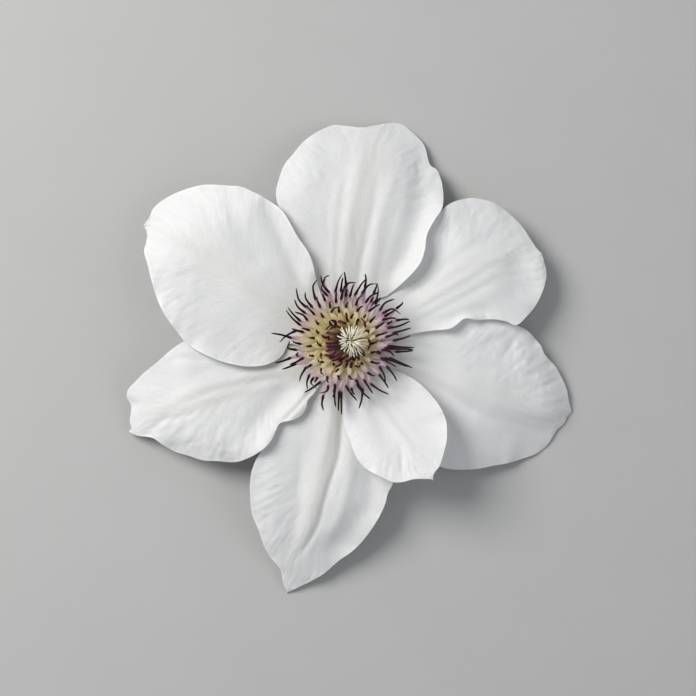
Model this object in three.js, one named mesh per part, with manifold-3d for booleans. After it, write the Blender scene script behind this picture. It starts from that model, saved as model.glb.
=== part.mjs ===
// A single clematis flower, picked with a short length of its stalk and laid face up.
//
// Seven broad tepals spread from a small dome-shaped receptacle and overlap like
// tiles: each one lies on a layer of its own, so every covered margin passes below
// its neighbour with a clear gap. The tepals arch up gently from the centre and
// curve down again, and the flower rests on the tips of three of them and on the
// stalk, which bends over below the receptacle and lies along the surface. Four
// rings of stamens stand on the side of the receptacle, and a tuft of styles
// stands on its top.
//
// Units are millimetres, +Z is up, and the resting surface is z = 0.

import * as THREE from 'three';
import { mergeVertices } from 'three/addons/utils/BufferGeometryUtils.js';
import Module from 'manifold-3d';

// ---------------------------------------------------------------- dimensions

const TEPAL_THICKNESS = 0.55;      // measured straight up and down
const LAYER_STEP = 1.05;           // height between one overlapping layer and the next
const COVER_GAP = 0.95;            // least middle-to-middle height where tepals overlap
const CLAW_RADIUS = 4.8;           // where the tepals' narrow bases meet the receptacle
const TEPAL_ROWS = 15;             // grid steps from base to tip
const TEPAL_COLUMNS = 10;          // grid steps from edge to edge

// height of the lowest layer's middle surface against distance from the axis
const ARCH_RADIUS = [0, 4, 10, 20, 30, 40, 50, 60, 70, 78, 86];
const ARCH_HEIGHT = [7.4, 7.55, 8.4, 9.6, 10.5, 10.9, 10.7, 9.7, 8.1, 6.5, 4.8];

// receptacle: radius and height of the turned outline
const RECEPTACLE = [
  [0, 5.4], [1.7, 5.4], [2.9, 6.0], [3.7, 7.0], [3.9, 8.1], [3.9, 11.9],
  [3.75, 12.5], [3.3, 13.6], [3.0, 14.5], [2.65, 14.9], [2.3, 15.5], [0, 15.65],
];

// stalk: middle line and radius, from just below the receptacle to the cut end
const STALK_LINE = [
  [0, 0, 4.8], [-0.08, -0.1, 4.1], [-0.9, -1.1, 2.75], [-3.4, -4.1, 1.6], [-8.5, -10.0, 1.24],
  [-15.5, -17.2, 1.2], [-22.5, -22.6, 1.2], [-30.5, -27.2, 1.2], [-38.5, -30.6, 1.2],
];
const STALK_RADIUS_TOP = 1.35;
const STALK_RADIUS = 1.15;
const STALK_STEPS = 30;

// stamen rings, lowest and widest first: radius and height where the filaments
// start, and into how many bundles the ring is divided
const RINGS = [
  { name: 'outer', radius: 5.0, height: 11.7, bundles: 8, reach: 0.50, lift: 0.66 },
  { name: 'second', radius: 4.7, height: 12.9, bundles: 10, reach: 0.46, lift: 0.78 },
  { name: 'third', radius: 4.2, height: 14.1, bundles: 8, reach: 0.42, lift: 0.90 },
  { name: 'inner', radius: 3.6, height: 15.3, bundles: 6, reach: 0.34, lift: 1.0 },
];
const PAD_BELOW = 0.45;            // the bundle's foot, a sector of a flat ring
const PAD_ABOVE = 0.35;
const PAD_IN = 0.55;
const PAD_OUT = 0.45;
const PAD_GAP = 0.3;               // clear gap between neighbouring feet
// radius of a stamen at its foot, twice along the filament, where the anther
// starts, at the anther's middle and at its tip
const STAMEN_RADII = [0.26, 0.26, 0.27, 0.30, 0.42, 0.22];

const STYLE_RADII = [0.22, 0.2, 0.2, 0.16];
const STYLE_BUNDLES = 6;
const STYLE_PAD = { inner: 0.2, outer: 2.5, bottom: 16.0, top: 16.6 };

// The tepals. Each edge runs from the claw to the tip in plan; a ridge is a line
// in plan along which the surface rises (or sinks) by `rise`, spread over `width`.
// tip_lift raises or lowers the part beyond the radius curl_from, so that the tip
// stands clear or meets the surface.
const TEPALS = {
  north: {
    layer: 2, tip_lift: -4.27, curl_from: 38,
    right: [[-1.5,4.6],[-7.5,13.2],[-13.3,25],[-18.3,36.2],[-22.6,46.5],[-22.8,50],[-21.8,54.1],[-20,59],[-16.9,63],[-13.4,67.3],[-9.6,70.3],[-5.5,72.6],[-2.7,73.7],[1.3,73.4],[6.1,72.8],[9.9,73.6],[14.1,74.5]],
    left: [[2.7,4],[6.5,9.7],[10.4,14.3],[13.7,15.3],[19.4,19.9],[24.7,25.9],[26.3,30.3],[27.1,35.3],[29.5,40.1],[32.4,44.6],[33.4,50.6],[33,55.2],[31.8,58.7],[29.8,60.1],[27.9,67.3],[25.3,70.5],[23,72.7],[21,74.4],[17.9,75.1],[14.1,74.5]],
    ridges: [
      { line: [[0.9,10.7],[-1,24.5],[0.3,35.4],[2.3,47.1],[4.9,58.2],[7.8,68.3]], rise: 0.75, width: 2.63 },
      { line: [[11.1,12.3],[18.3,24.6],[23,35.6],[25.9,47.5],[26.6,59.9],[21.8,70.7]], rise: -1.7, width: 4.93 },
      { line: [[14.8,14.3],[21,20.3],[26.3,26.6],[28.4,35.4],[33.1,44.3],[35.3,53.2]], rise: 2.9, width: 3.95 },
      { line: [[-24.2,45.2],[-23.5,51],[-20.7,58.7],[-15.8,65.2],[-10.3,70.7]], rise: -0.7, width: 3.62 },
      { line: [[-15.7,33.5],[-14.3,45.2],[-12.2,55.5],[-6.2,65.2]], rise: 0.6, width: 5.92 },
    ],
  },
  north_west: {
    layer: 3, tip_lift: -0.76, curl_from: 50,
    right: [[-4.8,0.3],[-11.5,-2.4],[-18.6,-0.8],[-20.6,-4.2],[-23.9,-6.8],[-28.5,-8.2],[-34.4,-8.2],[-40.3,-6.9],[-45.5,-4.9],[-49.8,-2.6],[-53,-0],[-56.6,4.6],[-59.6,8.8],[-62.2,14.8],[-63.9,20.5],[-65.2,25.8],[-66.2,29.9],[-65.3,33.2],[-65.3,35.2],[-65.6,36.9],[-66.6,38.6]],
    left: [[-2.7,4],[-6.6,12.2],[-9.7,20.4],[-11.4,26.6],[-13.1,30.2],[-16.1,34.4],[-19.4,40.4],[-21.7,43.6],[-26.3,46.9],[-30.2,49],[-34.5,51],[-38.1,51.4],[-42.7,51.8],[-46.6,51.9],[-50.2,51.2],[-54.5,49.9],[-58.1,48.3],[-62,45.6],[-64,43],[-64.3,41.6],[-65.7,39.6],[-66.6,38.6]],
    ridges: [
      { line: [[-9,16.4],[-10.7,25.6],[-14.8,34.1],[-19.1,42],[-25.6,48.6]], rise: 2.6, width: 3.62 },
      { line: [[-12.3,15.1],[-16,23.6],[-20,32.1],[-24.3,41.6],[-28.9,48]], rise: -1, width: 2.96 },
      { line: [[-18.2,-8.8],[-27.5,-10.1],[-36,-9.5],[-44.6,-6.9],[-52.4,-2.3]], rise: 2, width: 4.93 },
      { line: [[-51.1,-3.6],[-60.9,6.2],[-65.5,16.2],[-68.2,28.2]], rise: 0.8, width: 4.61 },
      { line: [[-72.8,26.3],[-70.2,37.6],[-65.7,47],[-57.1,53.7],[-49.2,56.4]], rise: -2.2, width: 6.58 },
      { line: [[-26.3,22.8],[-29.6,28.7],[-34.2,35.2],[-37.5,43.9],[-39.4,50]], rise: -0.6, width: 3.95 },
      { line: [[-27.5,3.7],[-36.8,8.2],[-46.6,13.4],[-55.7,18.7],[-61.6,22.8]], rise: -0.5, width: 5.26 },
      { line: [[-49.1,-6.9],[-59.6,7.5],[-61,23.4],[-49.2,36],[-32.9,43.9],[-16.4,50]], rise: 1.6, width: 10.53 },
    ],
  },
  west: {
    layer: 2, tip_lift: -5.72, curl_from: 50,
    right: [[-3.2,-3.6],[-6.5,-11],[-10.2,-16.9],[-12.6,-19.6],[-12.9,-21.6],[-14.9,-24.5],[-17.9,-25.9],[-21.5,-26.9],[-22.8,-28.8],[-24.1,-31.8],[-26.4,-34.7],[-29.1,-36.7],[-32,-38.3],[-35.9,-39.6],[-42.1,-39.3],[-47,-39],[-50.9,-37.7],[-56.1,-36.1],[-60.1,-33.8],[-63,-31.8],[-67.7,-31.1],[-70,-30.5],[-71.3,-29.8]],
    left: [[-4.8,0.3],[-13.2,2.2],[-24.8,4.4],[-36.4,5],[-46.2,3.3],[-53,0],[-57.3,-2.9],[-62.1,-7.2],[-65.8,-10.1],[-69,-13.3],[-71.3,-15.9],[-71.7,-18.3],[-70.3,-20.9],[-70.3,-23.2],[-70.7,-26.2],[-70.3,-28.5],[-71.3,-29.8]],
    ridges: [
      { line: [[-8.1,-8],[-19.8,-9.7],[-34.7,-12.1],[-46.1,-15.1],[-55.9,-19.3],[-64.1,-23.9]], rise: 0.55, width: 2.3 },
      { line: [[-10.8,-12],[-13.6,-19.9],[-18.2,-24.9],[-23.5,-30.5],[-28.1,-37],[-31.3,-40.9]], rise: 2, width: 3.29 },
      { line: [[-16.9,-12],[-22.5,-19.3],[-28.4,-25.9],[-32.7,-33.1]], rise: -0.8, width: 3.29 },
      { line: [[-73.7,-33.8],[-72.7,-25.9],[-74,-17.9]], rise: -1.6, width: 3.95 },
      { line: [[-31.3,-39.6],[-42.8,-41],[-52.5,-39],[-62.4,-33.8]], rise: -2.4, width: 5.26 },
    ],
  },
  south: {
    layer: 1, tip_lift: -3.8, curl_from: 52,
    right: [[1.1,-4.7],[5.9,-14.2],[11.7,-25.9],[16,-37.4],[16,-46.4],[14.4,-50],[13.1,-54.6],[8.9,-62.3],[5.1,-67.3],[2.2,-70],[-1.1,-72.3],[-6.2,-76.8],[-9.2,-78.8],[-13.1,-80.9],[-16,-82.3],[-18.3,-83.7]],
    left: [[-3,-3.7],[-7.4,-12.6],[-14.8,-20.9],[-20.1,-25.9],[-22.8,-29.1],[-24.4,-31.8],[-27,-35.4],[-29,-38.3],[-30.6,-42.3],[-31.2,-46.2],[-31.2,-49.9],[-30.5,-56.5],[-28.1,-62.5],[-26,-68.2],[-23.6,-72],[-21.2,-74.7],[-20.4,-76.4],[-19.9,-78.8],[-19.4,-81.2],[-18.3,-83.7]],
    ridges: [
      { line: [[-2.8,-14.3],[-5.5,-27.5],[-7.6,-39],[-9.9,-50.5],[-12.7,-62.2],[-15.7,-72.3]], rise: 1, width: 3.29 },
      { line: [[1.8,-20.9],[2,-35.8],[0.7,-47.3],[-2.2,-58.2],[-7.2,-68.2]], rise: 0.55, width: 2.3 },
      { line: [[-21.4,-34.1],[-23.7,-47.2],[-23.2,-58.8],[-20.7,-70.6]], rise: 0.6, width: 4.61 },
      { line: [[11,-35.8],[9.4,-49],[5.2,-58.9],[-1.2,-67.3],[-7,-73]], rise: -1.5, width: 4.61 },
      { line: [[18.4,-40.8],[16.4,-52.3],[11.3,-62.3],[3.6,-71.4],[-5.5,-79.2]], rise: 0.3, width: 2.3 },
      { line: [[-33.5,-48.9],[-31.7,-60.5],[-27.6,-69.6],[-22.1,-77.1]], rise: -1, width: 3.95 },
    ],
  },
  south_small: {
    layer: 3, tip_lift: 3.65, curl_from: 8,
    right: [[4.1,-2.5],[9.1,-6.3],[13.9,-9.3],[16.9,-9.7],[20.8,-11.3],[24.3,-13.7],[28.1,-17.6],[30.9,-21.6],[32.7,-25.9],[32.9,-29.8],[32.5,-33.7],[31.4,-37.6],[30,-41.2],[28.6,-42.8],[27.9,-44.1],[27.9,-45.7]],
    left: [[0.5,-4.8],[-0.6,-14.3],[-0.8,-23.9],[-0.6,-27.8],[1.3,-32.4],[2.2,-35.7],[4,-39.3],[6.9,-42.2],[11.1,-44.5],[14.9,-46.1],[17.9,-46.1],[21.8,-45.1],[26,-45.1],[27.3,-45.1],[27.9,-45.7]],
    ridges: [
      { line: [[2.3,-17.6],[6,-25.9],[9.1,-34.4],[13.4,-43.5]], rise: 0.7, width: 4.61 },
      { line: [[-2.4,-20.9],[-1,-30.8],[2.1,-38.3],[8.8,-45.4]], rise: -0.8, width: 3.29 },
      { line: [[24.4,-24.2],[29.2,-34.4],[29.6,-44.1]], rise: -0.3, width: 2.96 },
      { line: [[33.6,-17.6],[35.2,-27.5],[34.3,-36.3]], rise: 0.7, width: 2.63 },
    ],
  },
  east: {
    layer: 0, tip_lift: -1.58, curl_from: 24,
    right: [[4.7,0.8],[13.7,3.8],[25.3,8.1],[37.1,11.5],[49.1,11],[58.3,6.1],[61.9,4.5],[65.1,1.8],[67.3,-0.8],[68.4,-3.5],[72.5,-7.5],[74.8,-11.2],[76.7,-15],[77.6,-19.4],[78.8,-23.1]],
    left: [[3.5,-3.3],[12,-12.6],[20.2,-25.9],[27,-35.8],[32.1,-41.2],[35.6,-42.2],[44.6,-42.3],[50.3,-41.3],[56.3,-40.3],[62.1,-38.7],[66.8,-37],[70.4,-34],[73.6,-29.2],[76.2,-26.9],[77.3,-24.8],[78.8,-23.1]],
    ridges: [
      { line: [[9.4,-3.2],[23.6,-7.9],[37,-13.2],[50.9,-19.8],[63.5,-23.1],[76.5,-23.1]], rise: 1, width: 3.95 },
      { line: [[2.1,4.1],[28.7,-6.5],[43.9,-14.5],[59.8,-19.8],[89.2,-22.4]], rise: 1, width: 7.24 },
      { line: [[10.4,-1.9],[25.3,-3.2],[40.5,-6.5],[56.1,-12.4],[70.8,-19.1]], rise: 0.35, width: 2.63 },
      { line: [[18.6,-12.6],[30.6,-21.9],[39.5,-31.9],[45.3,-39.9]], rise: -1, width: 4.93 },
      { line: [[12.2,-59.1],[27.4,-54.5],[41.1,-52.7],[55.2,-49.5],[67.9,-45.6],[80.3,-42.9]], rise: -2.6, width: 13.82 },
      { line: [[54.3,-3],[63.3,-9.7],[70,-18.4],[73.3,-29.2]], rise: 1.2, width: 5.92 },
      { line: [[40.5,1.9],[50.8,3.6],[60.4,3.1]], rise: 0.35, width: 2.63 },
      { line: [[40.5,8.2],[52.6,8.3],[62.6,5.2],[71.4,-2.1]], rise: -0.6, width: 2.96 },
    ],
  },
  north_east: {
    layer: 1, tip_lift: 0.05, curl_from: 50,
    right: [[3.1,3.7],[8.6,9.7],[15.5,19],[22.4,30],[28.2,38.8],[32.7,44.2],[35.4,46.4],[38.9,47.8],[43.4,48.6],[47.6,48],[51.8,46.8],[55.9,43.8],[59.7,40.5],[62.8,36.2],[65.2,32.5],[67.3,30.1]],
    left: [[4.8,-0.2],[12,0.4],[18.6,1.7],[22.2,2.7],[29.2,3.8],[34.9,4.4],[37.2,5.8],[39.9,7.8],[44,7.5],[49.4,7.8],[53.9,7.2],[57.7,5.9],[61.2,8.7],[64.5,12.4],[66.6,16.2],[68.1,20.3],[68.6,24],[67.9,27.4],[67.3,30.1]],
    ridges: [
      { line: [[19.9,3.1],[33.9,9.1],[44.7,14.2],[55,19.7]], rise: 0.42, width: 2.63 },
      { line: [[17.9,14.7],[26.5,22.7],[31.9,31.8],[35.4,43.6]], rise: -1.2, width: 4.61 },
      { line: [[57,32.9],[58.9,22.8],[58.1,12.7]], rise: -0.45, width: 3.62 },
      { line: [[65.2,30.8],[67.1,19.6],[64.1,9.7]], rise: 0.4, width: 2.96 },
      { line: [[16.6,0.8],[27.9,2.1],[35.9,3.8],[40.6,6.5],[48,7.5]], rise: 2.1, width: 2.3 },
      { line: [[21.9,6.7],[33.5,7.4],[43.6,10.2],[53.9,10.2]], rise: -0.5, width: 2.3 },
      { line: [[50.8,49.5],[59.1,43.6],[65.3,35.6],[70.1,29.5]], rise: -0.9, width: 3.62 },
    ],
  },
};

const STAMENS = [
  [0,0,7.2,16.73,7.04,17.09,18.91,7.13,19.68,20.08,6.79,21.87],
  [0,0,15.3,12.69,8.3,17.67,14.35,9.3,20.46,15.01,9.65,22.86],
  [0,0,19.8,16.75,11.0,17,17.91,11.99,19.8,18.06,12.32,22.2],
  [0,0,25.9,12.03,9.28,17.66,14.93,10.58,18.32,17.46,8.9,19.23],
  [0,0,32.2,11.03,10.26,17.69,12.61,12.54,18.32,15.48,13.82,19.18],
  [0,0,39.0,9.57,12.37,17.42,10.11,15.56,19.62,9.95,17.84,21.69],
  [0,1,51.0,8.08,13.17,17.63,8.43,14.16,20.43,8.14,14.16,22.82],
  [0,1,51.7,9.1,15.91,17.06,9.57,17.76,19.84,9.45,18.55,22.23],
  [0,1,60.0,6.14,17.85,17.06,6.27,20.01,18.92,5.66,21.78,21.5],
  [0,1,64.9,5.12,15.84,17.37,7.36,18.45,18.04,10.22,18.73,18.97],
  [0,1,72.1,2.79,15.27,17.59,4.45,18.26,19.35,5.93,20.27,20.71],
  [0,1,80.3,-0.14,18.79,17.06,-0.7,21.12,19.63,-1.26,22.35,21.8],
  [0,1,84.0,-0.78,17.79,17.14,0.69,18.98,18.97,2.73,18.81,21.5],
  [0,2,96.0,-1.85,16.45,17.39,-1.79,18.92,19.81,-1.62,20.38,21.83],
  [0,2,98.2,-3.77,16.35,17.34,-2.92,19.5,19.56,-1.85,21.67,21.37],
  [0,2,105.1,-5.76,16.1,17.28,-7.8,18.34,17.91,-8.53,21.22,18.78],
  [0,2,110.3,-7.71,19.4,16.96,-7.18,20.74,19.76,-6.2,20.97,22.16],
  [0,2,115.3,-6.43,15.1,17.42,-8.26,16.58,19.51,-8.84,17.67,22.41],
  [0,2,121.5,-7.11,13.44,17.66,-7.95,14.77,20.46,-8.22,15.04,22.86],
  [0,2,128.9,-10.36,13.77,17.25,-11.08,17.66,17.94,-9.85,19.9,18.89],
  [0,3,141.0,-11.38,11.12,17.52,-13.45,13.64,18.88,-13.93,15.47,20.75],
  [0,3,142.7,-13.32,11.13,17.23,-15.68,13.36,17.95,-16.74,16.89,18.96],
  [0,3,149.4,-13.66,9.15,17.41,-16.05,11.03,18.58,-17.15,13.2,20.2],
  [0,3,157.6,-15.3,6.52,17.37,-17.66,8.74,18.27,-19.38,10.62,19.5],
  [0,3,163.6,-15.3,5.2,17.47,-17.65,7.12,18.14,-20.01,9.66,19.08],
  [0,3,170.5,-16.61,3.48,17.31,-19.78,1.69,19.5,-21.98,-0.31,21.29],
  [0,3,174.0,-18.22,0.96,17.09,-21.22,1.9,17.76,-24.54,2.49,18.69],
  [0,4,186.0,-15.31,-1.04,17.63,-17.24,-0.71,20.43,-17.97,-0.3,22.83],
  [0,4,191.8,-16.6,-2.99,17.33,-19.32,-2.4,18.8,-18.81,-0.2,20.84],
  [0,4,198.6,-18.54,-5.6,17.03,-20.92,-6.64,18.44,-23.65,-7.36,20.38],
  [0,4,203.1,-16.26,-4.95,17.3,-16.7,-4.73,20.1,-15.99,-4.16,22.5],
  [0,4,209.2,-14.32,-5.61,17.62,-16.73,-6.98,19.31,-18.85,-7.71,21.63],
  [0,4,214.6,-16.9,-7.56,17.07,-18.99,-8.6,18.96,-21.12,-9.34,21.55],
  [0,4,219.0,-13.42,-8.66,17.51,-15.0,-11.19,19.95,-15.75,-13.17,22],
  [0,5,231.0,-12.33,-11.16,17.37,-13.11,-13.49,19.06,-12.96,-15.81,21.39],
  [0,5,236.4,-11.02,-12.13,17.42,-11.82,-13.81,19.28,-10.07,-15.48,21.85],
  [0,5,242.1,-9.72,-12.14,17.59,-10.64,-13.31,20.39,-10.8,-13.56,22.79],
  [0,5,248.8,-8.69,-13.56,17.48,-11.64,-15.59,19.07,-14.05,-16.77,20.25],
  [0,5,256.6,-7.7,-18.01,17.02,-8.17,-20.64,18.7,-7.72,-22.62,21.03],
  [0,5,261.3,-6.1,-14.74,17.51,-6.6,-16.41,19.47,-9.12,-17.11,22.18],
  [0,5,264.0,-4.1,-15.8,17.44,-4.05,-19.15,19.24,-3.76,-21.54,20.64],
  [0,6,276.1,-2.45,-16.7,17.32,-2.71,-19.99,18.3,-2.92,-22.93,18.87],
  [0,6,280.5,-1.81,-16.7,17.34,-1.75,-20.51,18.43,-1.65,-23.91,19.13],
  [0,6,289.1,1.54,-15.64,17.6,1.8,-17.11,20.4,1.93,-17.4,22.77],
  [0,6,298.4,5.53,-16.0,17.08,4.69,-19.51,19.01,3.54,-22.06,20.62],
  [0,6,306.5,7.93,-14.09,17.47,10.92,-16.2,18.97,13.42,-17.44,20.08],
  [0,7,321.0,10.91,-11.08,17.59,12.4,-13.61,19.94,13.19,-15.43,21.88],
  [0,7,325.6,13.36,-8.27,17.56,15.16,-10.94,19.73,16.11,-13.08,21.51],
  [0,7,333.8,14.33,-5.51,17.63,18.06,-7.25,18.81,21.35,-8.83,19.59],
  [0,7,341.6,16.45,-3.46,17.32,19.39,-3.33,19.68,21.34,-2.97,21.63],
  [0,7,350.5,15.62,0.24,17.58,18.51,0.85,19.87,20.41,1.45,21.76],
  [0,7,354.0,15.43,2.72,17.57,18.56,3.57,19.44,20.7,4.24,20.91],
  [1,0,8.8,12.93,1.36,18.34,16.0,2.27,20.19,16.33,1.5,22.74],
  [1,0,19.4,13.65,4.34,17.92,17.19,4.98,18.71,20.68,6.58,19.81],
  [1,0,28.0,13.66,5.83,17.68,14.52,6.28,20.47,14.3,6.49,22.91],
  [1,1,42.3,11.98,7.12,18.09,14.33,7.41,20.55,15.76,6.95,22.59],
  [1,1,51.5,7.29,9.86,18.6,9.15,11.14,21.11,10.38,11.56,23.23],
  [1,1,61.5,6.32,12.85,17.96,7.78,14.69,19.3,10.25,15.83,21.06],
  [1,2,78.3,3.0,11.8,18.63,3.45,13.64,20.64,4.46,14.76,23.42],
  [1,2,82.2,1.11,14.8,17.75,1.58,17.14,20.25,1.96,18.41,22.35],
  [1,2,90.5,-0.21,14.79,17.77,-0.31,16.19,20.57,-0.4,16.39,22.97],
  [1,2,97.0,-0.21,14.79,17.77,-0.47,16.35,20.57,-0.72,16.71,22.97],
  [1,2,101.7,-1.88,13.78,18.05,-1.54,15.96,20.68,-1.05,17.04,22.91],
  [1,3,115.2,-3.55,12.77,18.26,-3.79,14.8,21.06,-3.71,15.68,23.46],
  [1,3,125.5,-5.55,11.09,18.54,-5.89,12.28,21.34,-5.69,12.4,23.74],
  [1,3,136.1,-8.78,11.11,17.97,-9.86,13.04,20.75,-10.2,14.03,23.13],
  [1,4,150.3,-10.76,8.8,18.05,-12.56,10.31,20.81,-13.46,11.08,23.17],
  [1,4,157.5,-13.03,6.83,17.79,-14.47,8.37,19.38,-17.24,9.21,21.57],
  [1,4,168.2,-12.42,3.53,18.37,-14.34,3.88,21.17,-15.1,3.91,23.57],
  [1,4,173.7,-14.34,2.89,17.82,-16.88,3.36,20.49,-18.29,3.61,22.75],
  [1,5,189.6,-11.79,-1.71,18.73,-13.24,-1.91,21.53,-13.5,-1.93,23.93],
  [1,5,201.7,-11.12,-4.98,18.63,-12.37,-4.99,21.43,-12.52,-4.52,23.83],
  [1,5,209.7,-11.72,-7.9,17.98,-13.08,-8.8,20.78,-13.44,-9.04,23.18],
  [1,6,222.8,-8.49,-9.21,18.49,-8.79,-10.38,21.29,-8.28,-10.66,23.69],
  [1,6,234.1,-6.49,-11.81,18.19,-6.68,-13.21,20.99,-6.3,-13.56,23.39],
  [1,6,244.6,-3.84,-14.41,17.72,-4.02,-16.41,19.69,-4.93,-18.4,22.41],
  [1,7,258.3,-2.91,-11.49,18.76,-2.82,-12.63,21.56,-2.43,-12.59,23.96],
  [1,7,263.4,-0.26,-14.79,17.74,1.3,-17.11,18.35,3.54,-19.37,19.25],
  [1,7,274.9,3.43,-14.37,17.92,5.35,-16.98,18.69,7.54,-18.97,19.48],
  [1,7,281.4,3.03,-12.78,18.3,4.15,-15.1,20.18,5.18,-16.12,22.77],
  [1,8,294.3,5.7,-12.76,18.03,7.14,-15.27,19.91,8.28,-17.07,21.4],
  [1,8,301.5,6.97,-10.48,18.47,8.15,-11.37,21.27,8.67,-11.26,23.67],
  [1,8,314.5,10.97,-8.49,18.06,12.13,-11.14,19.43,12.23,-13.48,21.33],
  [1,9,330.3,11.26,-5.55,18.48,13.43,-6.89,19.61,15.87,-8.24,21.16],
  [1,9,332.4,12.62,-5.53,18.09,16.34,-7.11,19.25,19.64,-8.52,20.02],
  [1,9,342.2,11.56,-2.93,18.73,13.65,-3.32,20.55,14.97,-4.71,23.07],
  [1,9,350.2,12.59,-2.24,18.42,16.53,-2.55,18.59,21.8,-2.55,18.81],
  [1,9,353.7,13.62,-1.58,18.11,17.57,-1.9,18.28,22.17,-2.22,18.5],
  [2,0,9.0,9.48,1.61,19.62,11.55,2.25,22.25,12.51,2.7,24.48],
  [2,0,22.4,9.51,4.25,19.33,11.07,5.34,22.13,11.53,5.95,24.53],
  [2,0,36.2,7.51,6.19,19.58,8.5,7.41,22.38,8.56,7.87,24.78],
  [2,1,52.1,5.57,7.69,19.65,5.73,8.33,22.45,5.31,8.17,24.85],
  [2,1,64.2,3.25,9.79,19.37,4.15,10.85,22.17,4.66,10.78,24.57],
  [2,1,74.8,1.23,7.45,20.1,1.55,8.38,22.9,1.67,8.13,25.3],
  [2,1,82.9,-0.34,11.1,19.06,-0.29,12.18,21.86,-0.2,12.07,24.26],
  [2,2,101.2,-2.68,9.41,19.56,-3.1,10.64,22.36,-3.18,10.72,24.76],
  [2,2,114.3,-5.27,9.41,19.19,-4.51,10.48,21.99,-3.26,10.68,24.39],
  [2,2,127.9,-7.88,7.78,19.07,-8.7,8.7,21.87,-8.66,8.78,24.27],
  [2,3,142.1,-5.37,5.11,20.1,-6.04,6.03,22.9,-5.84,6.13,25.3],
  [2,3,150.1,-9.53,5.47,19.1,-10.43,6.28,21.9,-10.29,6.49,24.3],
  [2,3,159.0,-7.0,3.8,20.1,-5.54,5.01,22.08,-4.16,3.9,24.82],
  [2,3,172.1,-9.54,2.52,19.54,-10.36,3.1,22.34,-10.22,3.43,24.74],
  [2,4,187.1,-10.84,0.89,19.15,-12.3,0.81,21.95,-12.57,0.64,24.35],
  [2,4,198.0,-8.65,-1.73,19.85,-9.88,-1.05,22.65,-10.13,-0.17,25.05],
  [2,4,211.7,-8.52,-4.28,19.64,-8.97,-5.43,22.44,-8.53,-6.14,24.84],
  [2,5,232.1,-7.9,-6.95,19.29,-9.23,-7.11,22.09,-9.65,-6.47,24.49],
  [2,5,239.8,-4.41,-7.4,19.92,-4.78,-8.27,22.72,-4.64,-8.28,25.12],
  [2,5,252.9,-2.92,-9.33,19.57,-3.95,-10.17,22.37,-4.69,-10.06,24.77],
  [2,5,262.9,-0.05,-7.36,20.06,-0.66,-8.69,22.86,-1.23,-8.82,25.26],
  [2,6,279.1,0.72,-11.49,18.89,1.14,-12.64,21.69,1.49,-12.59,24.09],
  [2,6,290.7,2.87,-8.24,19.88,3.44,-8.72,22.68,3.62,-8.07,25.08],
  [2,6,304.6,4.56,-7.14,19.69,4.74,-7.8,22.53,4.63,-7.4,25.18],
  [2,7,322.1,7.86,-6.9,19.32,9.49,-7.37,22.12,10.21,-7.06,24.52],
  [2,7,331.1,7.8,-3.97,19.87,9.19,-3.72,22.06,10.15,-4.8,25.07],
  [2,7,342.3,10.11,-3.47,19.22,10.71,-3.88,22.02,10.36,-3.97,24.42],
  [2,7,352.9,7.85,-1.01,20.04,9.09,-0.56,22.87,9.18,0.06,25.27],
  [3,0,19.8,7.15,2.58,19.8,6.74,3.33,21.1,5.63,3.2,21.7],
  [3,0,37.1,6.02,4.55,19.6,5.52,5.93,21.2,4.47,7.04,21.8],
  [3,1,67.5,3.87,7.31,19.7,3.14,5.77,21,2.87,4.27,21.4],
  [3,1,87.4,0.28,6.16,19.5,-0.19,7.55,20.9,-0.8,9.11,22.1],
  [3,1,112.5,-3.03,6.45,19.8,-1.82,5.91,20.8,-0.55,5.08,21.2],
  [3,2,128.7,-3.85,4.81,19.8,-4.32,5.87,21.3,-4.92,6.94,22.5],
  [3,2,146,-5.67,3.82,19.9,-4.34,4.39,21.5,-2.42,3.8,21.9],
  [3,2,158.7,-6.91,2.7,19.64,-4.76,2.48,20.9,-2.53,2.29,21.4],
  [3,2,167.9,-5.97,1.28,19.6,-7.25,1.27,21.1,-8.64,1.28,22.1],
  [3,2,172.5,-6.31,0.55,19.8,-4.13,0.51,21,-1.88,0.63,21.4],
  [3,3,187.5,-7.07,-0.73,19.1,-4.92,-0.79,20.7,-2.52,-0.48,21.3],
  [3,3,195.9,-6.79,-1.93,19.7,-4.62,-1.91,21,-2.2,-1.46,21.4],
  [3,3,205.3,-7.08,-3.35,19.64,-4.75,-3.07,20.9,-2.36,-2.43,21.3],
  [3,3,212.2,-7.41,-4.66,19.3,-5.42,-4.54,20.8,-3.02,-3.91,21.4],
  [3,3,224.4,-5.98,-5.85,19.8,-3.96,-5.3,21,-1.88,-4.06,21.4],
  [3,3,232.5,-4.97,-6.62,19.72,-2.99,-6.01,21.2,-1.08,-4.07,21.6],
  [3,4,248.5,-2.67,-6.77,19.4,-1.15,-5.83,20.7,0.1,-4.22,21.3],
  [3,4,254.2,-1.92,-6.79,20.2,-2.85,-7.75,21.3,-3.91,-8.65,22.2],
  [3,4,264.1,-0.72,-6.93,20.26,0.48,-5.99,21.1,1.41,-4.7,21.3],
  [3,4,282.1,1.52,-7.11,20.2,1.34,-8.03,21.3,0.61,-8.96,22.1],
  [3,4,285.8,1.91,-6.76,19.6,2.37,-5.34,20.9,2.05,-3.72,21.4],
  [3,5,307.5,3.89,-6.26,19.94,3.59,-5,21,3.05,-3.72,21.3],
  [3,5,318.9,5.68,-4.95,19.7,4.89,-4.02,20.9,4.02,-2.9,21.4],
  [3,5,338.2,7.02,-2.81,19.5,7.15,-1.09,21.3,6.28,0.69,21.7],
];

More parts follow.
